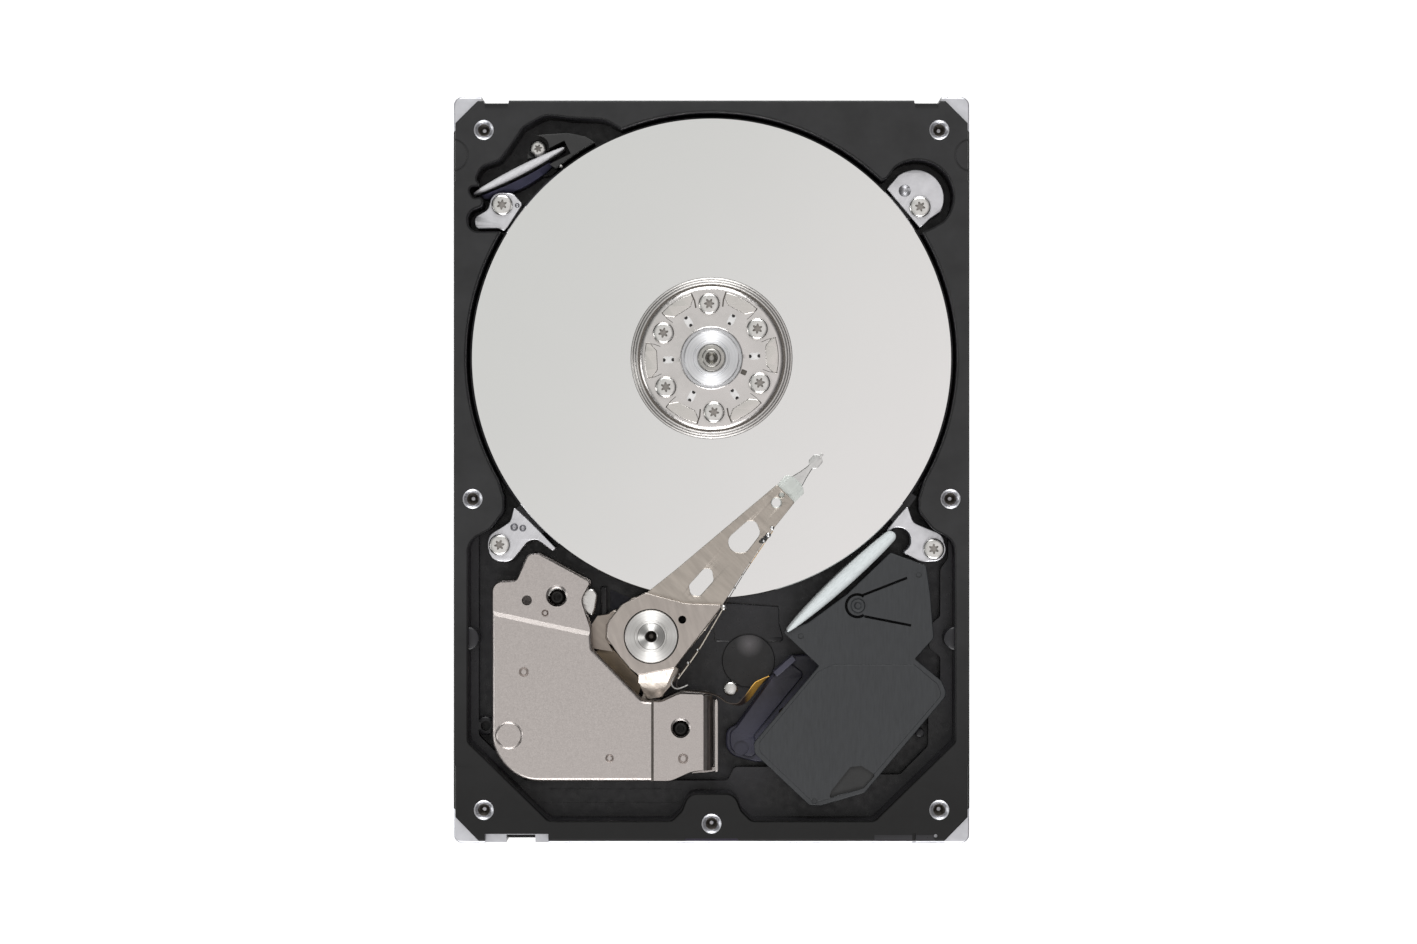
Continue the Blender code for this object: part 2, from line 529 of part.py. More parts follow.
def arm_block(axis):
    """The comb: a hub round the pivot, four pierced arms, and two prongs that hold the coil."""
    rear = [(0.5, 8.3, 2), (-4.2, 8.3, 3), (-8.2, 3.4, 3), (-8.2, -3.4, 3), (-4.6, -8.4, 3), (2.5, -8.5, 1)]
    innermost = (PIVOT_TO_SPINDLE * math.cos(math.radians(19.6)), PIVOT_TO_SPINDLE * math.sin(math.radians(19.6)))
    beside = rounded([*rear, (12.1, -6.56), *arc(*innermost, PLATTER_RADIUS + 0.45, 211.0, 199.6, 4),
                      *arc(0, 0, 8.2, 24, 56, 3), (3.0, 7.9)])
    above = rounded([(5.8, 6.8, 1), *rear, (14.4, -6.1, 0.5), (9.6, -0.6, 6)])
    block = add("arm_block", prism("arm_block", beside, 7.9, 23.4), ALUMINIUM, axis)
    join(block, prism("hub_top", above, 20.9, 23.4))
    arm = rounded([(38.8, 2.5, 0.3), (12.5, 5.4), (5.0, 6.5), (3.0, 0), (8.0, -7.0), (13.6, -6.0), (22.2, -4.5),
                   (31.0, -3.1), (38.6, -2.5, 0.3)])
    windows = [rounded([(17.8, 0.3, 0.6), (16.6, -1.4, 0.4), (12.2, -1.5, 0.4), (11.2, -0.2, 0.6), (12.0, 1.4, 0.4),
                        (16.8, 1.6, 0.4)]),
               rounded([(30.5, 0.4, 1.2), (29.8, -1.6, 1), (24.6, -2.2, 1.5), (23.0, 0.0, 1.2), (24.4, 2.2, 1.5),
                        (29.8, 1.6, 1)]),
               circle(36.6, 0.1, 1.0, 8)]
    for level in arm_levels():
        join(block, prism("arm", arm, level - ARM_THICK / 2, level + ARM_THICK / 2, windows))
    for side in (-1, 1):
        lobe = [(-1.0, side * 5.0), (-1.0, side * 8.9), (-4.6, side * 9.7), (-7.6, side * 9.9), (-9.9, side * 8.2),
                (-9.2, side * 6.6), (-6.0, side * 4.0)]
        prong = [(-4.0, side * 6.0), (-4.6, side * 9.2), (-7.4, side * 8.4), (-21.0, side * 12.9),
                 (-21.4, side * 11.9), (-20.2, side * 10.4), (-9.2, side * 6.5), (-7.4, side * 4.6)]
        join(block, prism("lobe", lobe, 11.7, 18.9))
        join(block, prism("prong", prong, COIL_LOW - 0.1, COIL_HIGH + 0.1))
    cut(block, cylinder("pivot_bore", 0, 0, 5.5, 5, 26, 16))
    cut(block, cylinder("tool_hole", 6.6, -2.2, 0.8, 19, 26, 8))


def voice_coil(axis):
    outer = rounded([(-9.5, 5.6, 1.5), (-27.6, 11.8, 3), (-27.6, -11.8, 3), (-9.5, -5.6, 1.5)])
    window = rounded([(-13.4, 3.1, 1), (-23.6, 6.6, 1), (-23.6, -6.6, 1), (-13.4, -3.1, 1)])
    add("voice_coil", prism("voice_coil", outer, COIL_LOW, COIL_HIGH, [window]), COPPER, axis)


def pivot_bearing(axis):
    sleeve = [(2.9, 8.1), (5.15, 8.1), (5.15, 23.8), (2.9, 23.8)]
    add("pivot_sleeve", turned("pivot_sleeve", sleeve, steps=16), STEEL, axis)
    shaft = [(0, BAY_FLOOR + GAP), (2.6, BAY_FLOOR + GAP), (2.6, 24.6), (1.15, 24.6), (1.15, 20.0), (0, 20.0)]
    add("pivot_shaft", turned("pivot_shaft", shaft, *PIVOT, 16), STEEL)


def suspension_mesh(name, level, facing):
    """A base plate under or over an arm's tip, a tapering spring beam, and the slider at its end."""
    start = level + facing * (ARM_THICK / 2 + 0.02)
    rest = level + facing * (PLATTER_PITCH - PLATTER_THICK) / 2
    stations = [(33.6, 2.2, 0.0), (35.0, 2.5, 0.0), (41.0, 2.5, 0.0), (42.0, 1.7, 0.0), (46.2, 0.5, 0.42),
                (47.0, 1.0, 0.46), (48.2, 1.0, 0.46), (48.8, 0.4, 0.46)]
    bm = bmesh.new()
    sections = []
    for along, half, drop in stations:
        near = start + facing * drop
        far = near + facing * (0.3 if along <= 41 else 0.12)
        sections.append([bm.verts.new((along, side * half, z)) for side, z in
                         ((-1, near), (1, near), (1, far), (-1, far))])
    for a, b in zip(sections, sections[1:]):
        for i in range(4):
            bm.faces.new((a[i], a[(i + 1) % 4], b[(i + 1) % 4], b[i]))
    bm.faces.new(sections[0])
    bm.faces.new(sections[-1])
    slider = box_outline(46.9, -0.5, 48.15, 0.5)
    foot = sorted((start + facing * 0.5, rest - facing * 0.22))
    return finished(bm, name), prism("slider", slider, *foot)


def suspensions(axis):
    """Six suspensions: each platter face has one."""
    number = 1
    for i, level in enumerate(arm_levels()):
        for facing in (-1, 1):
            if (i == 0 and facing < 0) or (i == PLATTERS and facing > 0):
                continue
            beam, slider = suspension_mesh(f"head_suspension_{number}", level, facing)
            join(add(f"head_suspension_{number}", beam, STEEL, axis), slider)
            number += 1


# ---------------------------------------------------------------- voice coil motor

def yoke_outline():
    return rounded([(-34.3, -16.4, 0.8), (-23.7, -22.1, 0.5), (-25.5, -25.6, 1), (-23.9, -31.0, 1),
                    (-23.5, -35.3, 0.8), (-13.6, -45.4, 0.8), (-10.0, -45.6, 2), (-6.4, -44.1, 3), (0.4, -44.1, 1.5),
                    (0.4, -59.0, 0.5), (-4.0, -59.6, 3), (-8.0, -61.4, 3), (-43.3, -61.4, 9.5), (-43.3, -22.0, 2.5),
                    (-38.2, -21.6, 2)], 15)


def magnet_outline():
    sector = [(a, r) for a, r in ((193, 13.2), (261, 13.2), (261, 27.6), (193, 27.6))]
    inner = arc(*PIVOT, sector[0][1], sector[0][0], sector[1][0], 8)
    outer = arc(*PIVOT, sector[2][1], sector[2][0], sector[3][0], 10)
    return inner + outer


def magnet_assembly():
    top = add("upper_magnet_plate", prism("upper_magnet_plate", yoke_outline(), 19.8, 23.6), NICKEL)
    join(top, prism("end_flange", box_outline(-1.4, -58.6, 0.38, -45.8, 0.3), 10.9, 21.0))
    cut(top, prism("upper_wing", [(-50, -26.9), (-43.3, -28.5), (-20, -34.0), (-15, -10), (-50, -10)], 22.9, 26))
    cut(top, prism("right_wing", box_outline(-11.6, -65, 5, -40), 22.9, 26.1))
    for x, y, radius in ((-30.4, -25.0, 1.75), (-6.1, -51.1, 1.7), (-36.4, -25.7, 1.05)):
        cut(top, cylinder("plate_hole", x, y, radius, 18, 27, 12))
    bottom = add("lower_magnet_plate", prism("lower_magnet_plate", yoke_outline(), BAY_FLOOR + GAP, 10.6), NICKEL)
    join(bottom, prism("lip", box_outline(0.2, -59.0, 1.3, -45.9), BAY_FLOOR + GAP, 10.6))
    join(bottom, prism("lip_wall", box_outline(0.75, -59.2, 1.3, -45.9), 9.6, 21.5))
    add("upper_magnet", prism("upper_magnet", magnet_outline(), 17.2, 19.6), MAGNET)
    add("lower_magnet", prism("lower_magnet", magnet_outline(), 10.8, 13.2), MAGNET)
    add("yoke_standoff", turned("yoke_standoff", [(0, 10.8), (2.4, 10.8), (2.4, 19.6), (0, 19.6)], -31.6, -22.8, 12),
        STEEL)
    add("crash_stop", turned("crash_stop", [(0, 10.8), (2.0, 10.8), (2.0, 19.6), (0, 19.6)], -24.8, -25.5, 16), STEEL)
    add("locating_pin", turned("locating_pin", [(0, BAY_FLOOR + GAP), (1.4, BAY_FLOOR + GAP), (1.4, 14.9),
                                                (0, 14.9)], 3.8, -43.5, 12), STEEL)


# ---------------------------------------------------------------- filters, flex and plastic

def pillow_outline(start, end, half, blunt=0.25):
    """A filter pillow seen from above: pointed ends and a full middle."""
    a, b = Vector(start), Vector(end)
    along = b - a
    side = Vector((-along.y, along.x)).normalized()
    steps = 10
    shares = [i / steps for i in range(steps + 1)]
    width = [blunt + (half - blunt) * math.sin(math.pi * t) ** 0.8 for t in shares]
    left = [tuple(a + along * t + side * w) for t, w in zip(shares, width)]
    right = [tuple(a + along * t - side * w) for t, w in zip(shares, width)]
    return left + right[::-1]


def filter_holder():
    """A plastic clip that grips one end of the recirculation filter, with its screw."""
    outline = rounded([(-36.4, 57.6), (-36.4, 63.9, 1), (-34.2, 66.2, 1), (-28.5, 66.5, 4), (-24.9, 65.9, 0.5),
                       *arc(*SPINDLE, 48.4, 118.5, 131, 4)])
    holder = add("filter_holder", prism("filter_holder", outline, 10.6, 22.6), BLACK_PLASTIC)
    cut(holder, prism("filter_slot", strip([(-50.0, 52.96), (-28.2, 63.8)], 3.0), 8, 26))
    cut(holder, cylinder("screw_seat", *FILTER_SCREW, 2.2, 17.0, 26, 16))
    cut(holder, cylinder("screw_hole", *FILTER_SCREW, 1.1, 8, 18, 8))
    add("filter_screw", screw_mesh("filter_screw", *FILTER_SCREW, 8.0, 17.2, 0.85, 1.65), STEEL)


def filters():
    add("recirculation_filter", prism("recirculation_filter", pillow_outline((-46.7, 54.6), (-29.2, 63.3), 1.05),
                                      10.6, 23.4), FIBRE)
    add("desiccant_filter", prism("desiccant_filter", pillow_outline((15.2, -31.6), (36.0, -12.5), 1.35),
                                  9.4, 23.2), FIBRE)


def flex_parts():
    path = smooth_path([(-6.1, -40.7), (-6.7, -41.6), (-6.9, -42.7), (-6.0, -43.6), (-4.0, -43.9), (-1.2, -44.2),
                        (1.3, -44.9), (3.4, -46.4), (5.5, -46.9), (7.4, -45.8), (9.4, -43.2), (11.4, -40.9)], 3)
    add("flex_cable", prism("flex_cable", strip(path, 0.25), 12.4, 18.2), FLEX)
    outline = rounded([(15.7, -36.9, 0.6), (11.6, -41.4), (4.9, -50.7), (2.9, -51.6, 1), (2.8, -56.6, 2),
                       (8.6, -58.2, 1), (24.0, -58.2, 1), (38.0, -47.0, 1), (28.0, -36.4, 1)])
    add("flex_bracket", prism("flex_bracket", outline, BAY_FLOOR + GAP, 11.6), BLACK_PLASTIC)
    bracket = bpy.data.objects["flex_bracket"]
    join(bracket, prism("clamp_wall", strip([(12.6, -40.5), (16.4, -37.2)], 1.2), 9.0, 18.6))
    cut(bracket, prism("connector_hole", box_outline(13.4, -56.6, 26.6, -47.4, 1), 5, 14))
    add("head_connector", prism("head_connector", box_outline(13.8, -56.2, 26.2, -47.8, 0.6), BAY_FLOOR + GAP, 12.6),
        BLACK_PLASTIC)


def plastic_cover():
    """The black lid over the flex bracket, with a snap finger and three tooling dimples."""
    outline = rounded([(14.6, -32.6, 0.3), (21.2, -38.7), (8.3, -53.9, 0.8), (8.6, -56.1, 0.8), (19.2, -66.2, 0.8),
                       (21.6, -66.3, 0.8), (30.2, -63.8, 0.6), (46.6, -44.3, 1.5), (45.4, -41.6, 0.8), (40.2, -37.3),
                       (43.9, -33.3, 0.8), (43.2, -24.4), (42.3, -19.4, 0.5), (36.4, -17.3, 0.5), (27.5, -25.8)])
    slot = strip([(38.5, -21.5), (29.2, -24.7)], 0.5)
    cover = add("plastic_cover", prism("plastic_cover", outline, 20.6, 21.8), BLACK_PLASTIC)
    cut(cover, prism("upper_slot", slot, 19, 24))
    cut(cover, prism("lower_slot", strip([(39.2, -30.7), (29.2, -28.9)], 0.5), 19, 24))
    hook = arc(28.9, -26.8, 2.1, 82, 278, 8) + arc(28.9, -26.8, 2.6, 278, 82, 8)
    cut(cover, prism("hook_slot", hook, 19, 24))
    join(cover, prism("skirt", rounded([(21.4, -39.6), (9.2, -54.2, 0.6), (19.6, -64.6, 0.6), (29.4, -62.0, 0.6),
                                        (44.6, -44.2, 1), (38.2, -37.9)]), 19.6, 20.9))
    for x, y, foot in ((41.6, -41.8, BAY_FLOOR), (12.2, -55.0, 11.6), (24.0, -62.2, LEDGE_FLOOR)):
        join(cover, cylinder("leg", x, y, 1.0, foot + GAP, 20.8, 8))


# ---------------------------------------------------------------- the drive

def main():
    for obj in list(bpy.data.objects):
        bpy.data.objects.remove(obj)
    base_casting()
    circuit_board()
    power_and_data_plug()
    spindle_axis = empty("spindle_axis", *SPINDLE)
    motor()
    spindle(spindle_axis)
    separators()
    pivot_axis = empty("pivot_axis", *PIVOT, ARM_ANGLE)
    arm_block(pivot_axis)
    voice_coil(pivot_axis)
    pivot_bearing(pivot_axis)
    suspensions(pivot_axis)
    magnet_assembly()
    filter_holder()
    filters()
    flex_parts()
    plastic_cover()


main()
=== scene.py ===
"""The looks of an open 3.5 inch hard disk drive, seen from above on a pale studio floor.

Lengths are in millimetres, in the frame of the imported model, and become metres when a piece is made.
"""

import json
import math
import random

import bmesh
import bpy
from mathutils import Matrix, Vector

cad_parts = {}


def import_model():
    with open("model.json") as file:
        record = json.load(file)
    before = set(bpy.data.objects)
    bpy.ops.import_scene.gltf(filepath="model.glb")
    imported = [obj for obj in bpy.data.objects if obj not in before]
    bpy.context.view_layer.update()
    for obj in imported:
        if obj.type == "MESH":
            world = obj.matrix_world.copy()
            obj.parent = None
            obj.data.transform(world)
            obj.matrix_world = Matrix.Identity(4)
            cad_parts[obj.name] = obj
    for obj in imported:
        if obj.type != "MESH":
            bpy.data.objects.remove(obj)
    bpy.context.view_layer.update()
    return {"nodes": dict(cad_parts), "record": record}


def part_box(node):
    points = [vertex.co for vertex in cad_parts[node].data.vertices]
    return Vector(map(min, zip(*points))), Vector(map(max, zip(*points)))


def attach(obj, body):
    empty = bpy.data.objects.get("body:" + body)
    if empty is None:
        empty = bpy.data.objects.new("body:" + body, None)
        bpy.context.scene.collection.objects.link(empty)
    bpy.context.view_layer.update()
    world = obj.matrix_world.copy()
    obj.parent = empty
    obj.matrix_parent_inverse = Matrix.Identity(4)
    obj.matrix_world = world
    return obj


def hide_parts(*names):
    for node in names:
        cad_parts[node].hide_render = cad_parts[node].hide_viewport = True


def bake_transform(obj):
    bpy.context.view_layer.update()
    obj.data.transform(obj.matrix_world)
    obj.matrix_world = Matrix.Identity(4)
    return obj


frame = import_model()

MM = 0.001
FINE = 8                 # degrees between points on a fillet


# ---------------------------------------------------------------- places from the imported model

def spot(node):
    """The lowest and highest corners of a node, in millimetres."""
    low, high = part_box(node)
    return Vector(low) / MM, Vector(high) / MM


def joint_place(name):
    for joint in frame["record"]["behaviour"]["joints"]:
        if joint["name"] == name:
            return Vector(joint["pos_m"][:2]) / MM


def middle(node):
    low, high = spot(node)
    return (low + high) / 2


SPINDLE = joint_place("spindle_spin")
PIVOT = joint_place("actuator_swing")
HALF_WIDTH, HALF_LENGTH, DECK_TOP = spot("base_casting")[1]
PLATTER_TOP = spot("platter_upper")[1].z
ARM_ANGLE = math.radians(46.7)
BODY_TOP = DECK_TOP - 1.1
BAY_FLOOR = 7.2
LEDGE = 12.0
WELL_FLOOR = 7.6
POCKET_FLOOR = 10.3
WELL_RADIUS = 48.4
PLATTER_RADIUS = 47.5
PLATTER_THICK = 1.27
PLATTER_PITCH = 4.6
ARM_LEVELS = [8.265 + PLATTER_PITCH * k for k in range(4)]
CLAMP_SCREW_CIRCLE = 10.7
MOUNT_HOLE_RADIUS = 1.6
SIDE_HOLE_HEIGHT = 6.35
SIDE_HOLE_PLACES = (28.5, 70.1, 130.1)      # along the drive, from the connector end
BOTTOM_HOLE_X = 47.625
BOTTOM_HOLE_PLACES = (41.28, 85.73)         # along the drive, from the connector end


# ---------------------------------------------------------------- outlines

def arc(x, y, radius, start, end, steps=24):
    angles = [math.radians(start + (end - start) * i / steps) for i in range(steps + 1)]
    return [(x + radius * math.cos(a), y + radius * math.sin(a)) for a in angles]


def circle(x, y, radius, steps=48):
    return arc(x, y, radius, 0, 360, steps)[:-1]


def rounded(corners):
    """An outline from (x, y) or (x, y, radius) corners, each radius a fillet."""
    points = []
    count = len(corners)
    for i, corner in enumerate(corners):
        here = Vector(corner[:2])
        radius = corner[2] if len(corner) > 2 else 0
        before = Vector(corners[i - 1][:2]) - here
        after = Vector(corners[(i + 1) % count][:2]) - here
        room = min(before.length, after.length) * 0.49
        before.normalize()
        after.normalize()
        half = before.angle(after) / 2
        if not radius or half > math.radians(88.5):
            points.append(tuple(here))
            continue
        radius = min(radius, room * math.tan(half))
        centre = here + (before + after).normalized() * (radius / math.sin(half))
        first = here + before * (radius / math.tan(half)) - centre
        last = here + after * (radius / math.tan(half)) - centre
        turn = first.angle_signed(last)
        steps = max(2, math.ceil(abs(math.degrees(turn)) / FINE))
        for k in range(steps + 1):
            spoke = first.copy()
            spoke.rotate(Matrix.Rotation(-turn * k / steps, 2))
            points.append(tuple(centre + spoke))
    return points


def box_outline(x0, y0, x1, y1, radius=0):
    return rounded([(x0, y0, radius), (x1, y0, radius), (x1, y1, radius), (x0, y1, radius)])


def mirrored(points):
    return [(-p[0], *p[1:]) for p in reversed(points)]


def strip(path, width):
    left, right = [], []
    for i, point in enumerate(path):
        ahead = Vector(path[min(i + 1, len(path) - 1)]) - Vector(path[max(i - 1, 0)])
        side = Vector((-ahead.y, ahead.x)).normalized() * width / 2
        left.append(tuple(Vector(point) + side))
        right.append(tuple(Vector(point) - side))
    return left + right[::-1]


def smooth_path(points, steps=8):
    """A Catmull-Rom curve through points of any number of dimensions."""
    path = []
    ends = [points[0], *points, points[-1]]
    for a, b, c, d in zip(ends, ends[1:], ends[2:], ends[3:]):
        for k in range(steps):
            t = k / steps
            path.append(tuple(
                0.5 * (2 * b[i] + (c[i] - a[i]) * t + (2 * a[i] - 5 * b[i] + 4 * c[i] - d[i]) * t * t
                       + (3 * b[i] - a[i] - 3 * c[i] + d[i]) * t ** 3)
                for i in range(len(b))))
    return path + [tuple(points[-1])]


def polar(reach, degrees, centre=SPINDLE):
    angle = math.radians(degrees)
    return centre[0] + reach * math.cos(angle), centre[1] + reach * math.sin(angle)


def turn_points(points, angle=ARM_ANGLE, about=PIVOT):
    """Points of one frame, the arm's unless told otherwise, placed in the drive."""
    c, s = math.cos(angle), math.sin(angle)
    return [(about[0] + x * c - y * s, about[1] + x * s + y * c) for x, y in points]


# ---------------------------------------------------------------- meshes, in mm until a piece is made

def clean(bm):
    bmesh.ops.remove_doubles(bm, verts=bm.verts, dist=0.0004)
    bmesh.ops.recalc_face_normals(bm, faces=bm.faces)
    mesh = bpy.data.meshes.new("part")
    bm.to_mesh(mesh)
    bm.free()
    return mesh


def filled(outline, holes, half, edge, steps, offset, height):
    """An outline with holes, thickened by half each way about its height."""
    curve = bpy.data.curves.new("outline", "CURVE")
    curve.dimensions = "2D"
    curve.fill_mode = "BOTH"
    curve.extrude = half
    curve.bevel_depth = edge
    curve.bevel_resolution = steps
    curve.offset = offset
    for loop in [outline, *holes]:
        spline = curve.splines.new("POLY")
        spline.points.add(len(loop) - 1)
        for point, (x, y) in zip(spline.points, loop):
            point.co = (x, y, 0, 1)
        spline.use_cyclic_u = True
    holder = bpy.data.objects.new("outline", curve)
    mesh = bpy.data.meshes.new_from_object(holder)
    bpy.data.objects.remove(holder)
    bpy.data.curves.remove(curve)
    bm = bmesh.new()
    bm.from_mesh(mesh)
    bpy.data.meshes.remove(mesh)
    bmesh.ops.translate(bm, vec=(0, 0, height), verts=bm.verts)
    return clean(bm)


def plate(outline, low, high, holes=(), edge=0.0, steps=1):
    """A flat plate between two heights, its edges rounded by edge."""
    return filled(outline, holes, (high - low) / 2 - edge, edge, steps, -edge, (high + low) / 2)


def box(x0, y0, x1, y1, low, high, radius=0, edge=0.0):
    return plate(box_outline(x0, y0, x1, y1, radius), low, high, edge=edge)


def flare(outline, top, size):
    """A cutter that leaves a chamfer of this size round an opening."""
    reach = 1.0
    return filled(outline, (), reach, size, 0, 0, top + reach)


def lathe(profile, x=0.0, y=0.0, steps=128):
    """A closed (radius, height) profile turned round a vertical axis."""
    bm = bmesh.new()
    rings = []
    for radius, height in profile:
        if radius == 0:
            rings.append([bm.verts.new((x, y, height))] * steps)
            continue
        angles = [2 * math.pi * i / steps for i in range(steps)]
        rings.append([bm.verts.new((x + radius * math.cos(a), y + radius * math.sin(a),
                                    height)) for a in angles])
    for k, ring in enumerate(rings):
        above = rings[(k + 1) % len(rings)]
        for i in range(steps):
            j = (i + 1) % steps
            face = list(dict.fromkeys([ring[i], ring[j], above[j], above[i]]))
            if len(face) > 2:
                bm.faces.new(face)
    return clean(bm)


def disc(x, y, radius, low, high, steps=40, edge=0.0):
    if not edge:
        return lathe([(0, low), (radius, low), (radius, high), (0, high)], x, y, steps)
    return lathe([(0, low), (radius, low), (radius, high - edge), (radius - edge * 0.3, high - edge * 0.3),
                  (radius - edge, high), (0, high)], x, y, steps)


def loft(rings):
    """A closed body through rings of equal length."""
    bm = bmesh.new()
    rows = [[bm.verts.new(p) for p in ring] for ring in rings]
    for a, b in zip(rows, rows[1:]):
        for i in range(len(a)):
            j = (i + 1) % len(a)
            bm.faces.new((a[i], a[j], b[j], b[i]))
    bm.faces.new(rows[0])
    bm.faces.new(rows[-1])
    return clean(bm)


def merged(*meshes):
    """One mesh of several, each of which may overlap its neighbours."""
    bm = bmesh.new()
    for mesh in meshes:
        bm.from_mesh(mesh)
        bpy.data.meshes.remove(mesh)
    joined = bpy.data.meshes.new("merged")
    bm.to_mesh(joined)
    bm.free()
    return joined


def combined(mesh, others, operation):
    """The result of Booleans between a mesh and others, one after the other."""
    target = bpy.data.objects.new("target", mesh)
    bpy.context.scene.collection.objects.link(target)
    helpers = []
    for other in others:
        helper = bpy.data.objects.new("helper", other)
        bpy.context.scene.collection.objects.link(helper)
        helpers.append(helper)
        modifier = target.modifiers.new("combine", "BOOLEAN")
        modifier.object = helper
        modifier.operation = operation
        modifier.solver = "MANIFOLD"
    bpy.context.view_layer.update()
    graph = bpy.context.evaluated_depsgraph_get()
    result = bpy.data.meshes.new_from_object(target.evaluated_get(graph))
    for obj in [target, *helpers]:
        data = obj.data
        bpy.data.objects.remove(obj)
        bpy.data.meshes.remove(data)
    return result


def cut(mesh, *others):
    return combined(mesh, others, "DIFFERENCE")


def join(mesh, *others):
    return combined(mesh, others, "UNION")


def placed(mesh):
    """A mesh of the arm's own frame, moved to its place in the drive."""
    mesh.transform(Matrix.Translation((*PIVOT, 0)) @ Matrix.Rotation(ARM_ANGLE, 4, "Z"))
    return mesh


def piece(name, mesh, material, body, replaces=(), smooth=32, sort=None):
    """A finished piece in metres. sort gives each face's material, one of the list."""
    bm = bmesh.new()
    bm.from_mesh(mesh)
    bmesh.ops.dissolve_degenerate(bm, edges=bm.edges, dist=0.0002)
    bmesh.ops.recalc_face_normals(bm, faces=bm.faces)
    bm.to_mesh(mesh)
    bm.free()
    materials = material if isinstance(material, (list, tuple)) else [material]
    mesh.materials.clear()
    for one in materials:
        mesh.materials.append(one)
    for polygon in mesh.polygons:
        polygon.material_index = materials.index(sort(polygon.center, polygon.normal)) if sort else 0
    mesh.transform(Matrix.Scale(MM, 4))
    mesh.name = name
    mesh.shade_smooth()
    mesh.set_sharp_from_angle(angle=math.radians(smooth))
    obj = bpy.data.objects.new(name, mesh)
    bpy.context.scene.collection.objects.link(obj)
    weights = obj.modifiers.new("normals", "WEIGHTED_NORMAL")
    weights.keep_sharp = True
    if body:
        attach(obj, body)
    if replaces:
        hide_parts(*([replaces] if isinstance(replaces, str) else replaces))
    return obj


# ---------------------------------------------------------------- materials

class Surface:
    """A node material whose colour, roughness and relief vary over the surface."""

    def __init__(self, name, colour, metallic=0.0, roughness=0.5):
        self.material = bpy.data.materials.new(name)
        self.material.use_nodes = True
        self.nodes = self.material.node_tree.nodes
        self.links = self.material.node_tree.links
        self.shader = self.nodes["Principled BSDF"]
        self.colour = colour
        self.shader.inputs["Base Color"].default_value = (*colour, 1)
        self.shader.inputs["Metallic"].default_value = metallic
        self.shader.inputs["Roughness"].default_value = roughness
        self.place = self.nodes.new("ShaderNodeTexCoord").outputs["Object"]
        self.normal = None

    def vector(self, stretch=(1, 1, 1), angle=0.0, centre=(0, 0)):
        """The place on the piece, turned and stretched."""
        mapping = self.nodes.new("ShaderNodeMapping")
        mapping.vector_type = "TEXTURE"
        mapping.inputs["Location"].default_value = (centre[0] * MM, centre[1] * MM, 0)
        mapping.inputs["Rotation"].default_value = (0, 0, angle)
        mapping.inputs["Scale"].default_value = stretch
        self.links.new(self.place, mapping.inputs["Vector"])
        return mapping.outputs["Vector"]

    def rings(self, centre):
        """The distance from a vertical axis, for turned surfaces."""
        flat = self.nodes.new("ShaderNodeVectorMath")
        flat.operation = "MULTIPLY"
        flat.inputs[1].default_value = (1, 1, 0)
        self.links.new(self.vector(centre=centre), flat.inputs[0])
        length = self.nodes.new("ShaderNodeVectorMath")
        length.operation = "LENGTH"
        self.links.new(flat.outputs[0], length.inputs[0])
        return length.outputs["Value"]

    def noise(self, size, vector=None, detail=4.0, rough=0.55):
        """Noise whose features are about this many millimetres across."""
        node = self.nodes.new("ShaderNodeTexNoise")
        node.inputs["Scale"].default_value = 1 / (size * MM)
        node.inputs["Detail"].default_value = detail
        node.inputs["Roughness"].default_value = rough
        self.links.new(vector or self.place, node.inputs["Vector"])
        return node.outputs["Fac"]

    def span(self, value, low, high, start=0.3, end=0.7):
        node = self.nodes.new("ShaderNodeMapRange")
        node.inputs["From Min"].default_value = start
        node.inputs["From Max"].default_value = end
        node.inputs["To Min"].default_value = low
        node.inputs["To Max"].default_value = high
        self.links.new(value, node.inputs["Value"])
        return node.outputs["Result"]

    def shade(self, value, dark, light, start=0.3, end=0.7):
        """Colours the surface from dark to light times its base colour."""
        ramp = self.nodes.new("ShaderNodeValToRGB")
        ramp.color_ramp.elements[0].position = start
        ramp.color_ramp.elements[1].position = end
        shades = [dark if isinstance(dark, tuple) else tuple(c * dark for c in self.colour),
                  light if isinstance(light, tuple) else tuple(c * light for c in self.colour)]
        for element, colour in zip(ramp.color_ramp.elements, shades):
            element.color = (*[min(1, c) for c in colour], 1)
        self.links.new(value, ramp.inputs["Fac"])
        self.links.new(ramp.outputs["Color"], self.shader.inputs["Base Color"])
        return self

    def gloss(self, value, low, high, start=0.3, end=0.7):
        self.links.new(self.span(value, low, high, start, end), self.shader.inputs["Roughness"])
        return self

    def relief(self, value, depth, strength=1.0):
        """Adds bumps of about this depth in millimetres."""
        bump = self.nodes.new("ShaderNodeBump")
        bump.inputs["Strength"].default_value = strength
        bump.inputs["Distance"].default_value = depth * MM
        self.links.new(value, bump.inputs["Height"])
        if self.normal:
            self.links.new(self.normal, bump.inputs["Normal"])
        self.normal = bump.outputs["Normal"]
        self.links.new(self.normal, self.shader.inputs["Normal"])
        return self

    def set(self, **values):
        for name, value in values.items():
            self.shader.inputs[name.replace("_", " ")].default_value = value
        return self

    def fine_rings(self, centre, pitch, detail):
        """Noise that changes only with the distance from a vertical axis."""
        node = self.nodes.new("ShaderNodeTexNoise")
        node.noise_dimensions = "1D"
        node.inputs["Scale"].default_value = 1 / (pitch * MM)
        node.inputs["Detail"].default_value = detail
        self.links.new(self.rings(centre), node.inputs["W"])
        return node.outputs["Fac"]

    def spread(self, amount):
        """Spreads the light along each radius, as turned metal does."""
        tangent = self.nodes.new("ShaderNodeTangent")
        tangent.direction_type = "RADIAL"
        tangent.axis = "Z"
        self.links.new(tangent.outputs["Tangent"], self.shader.inputs["Tangent"])
        return self.set(Anisotropic=amount, Anisotropic_Rotation=0.25)


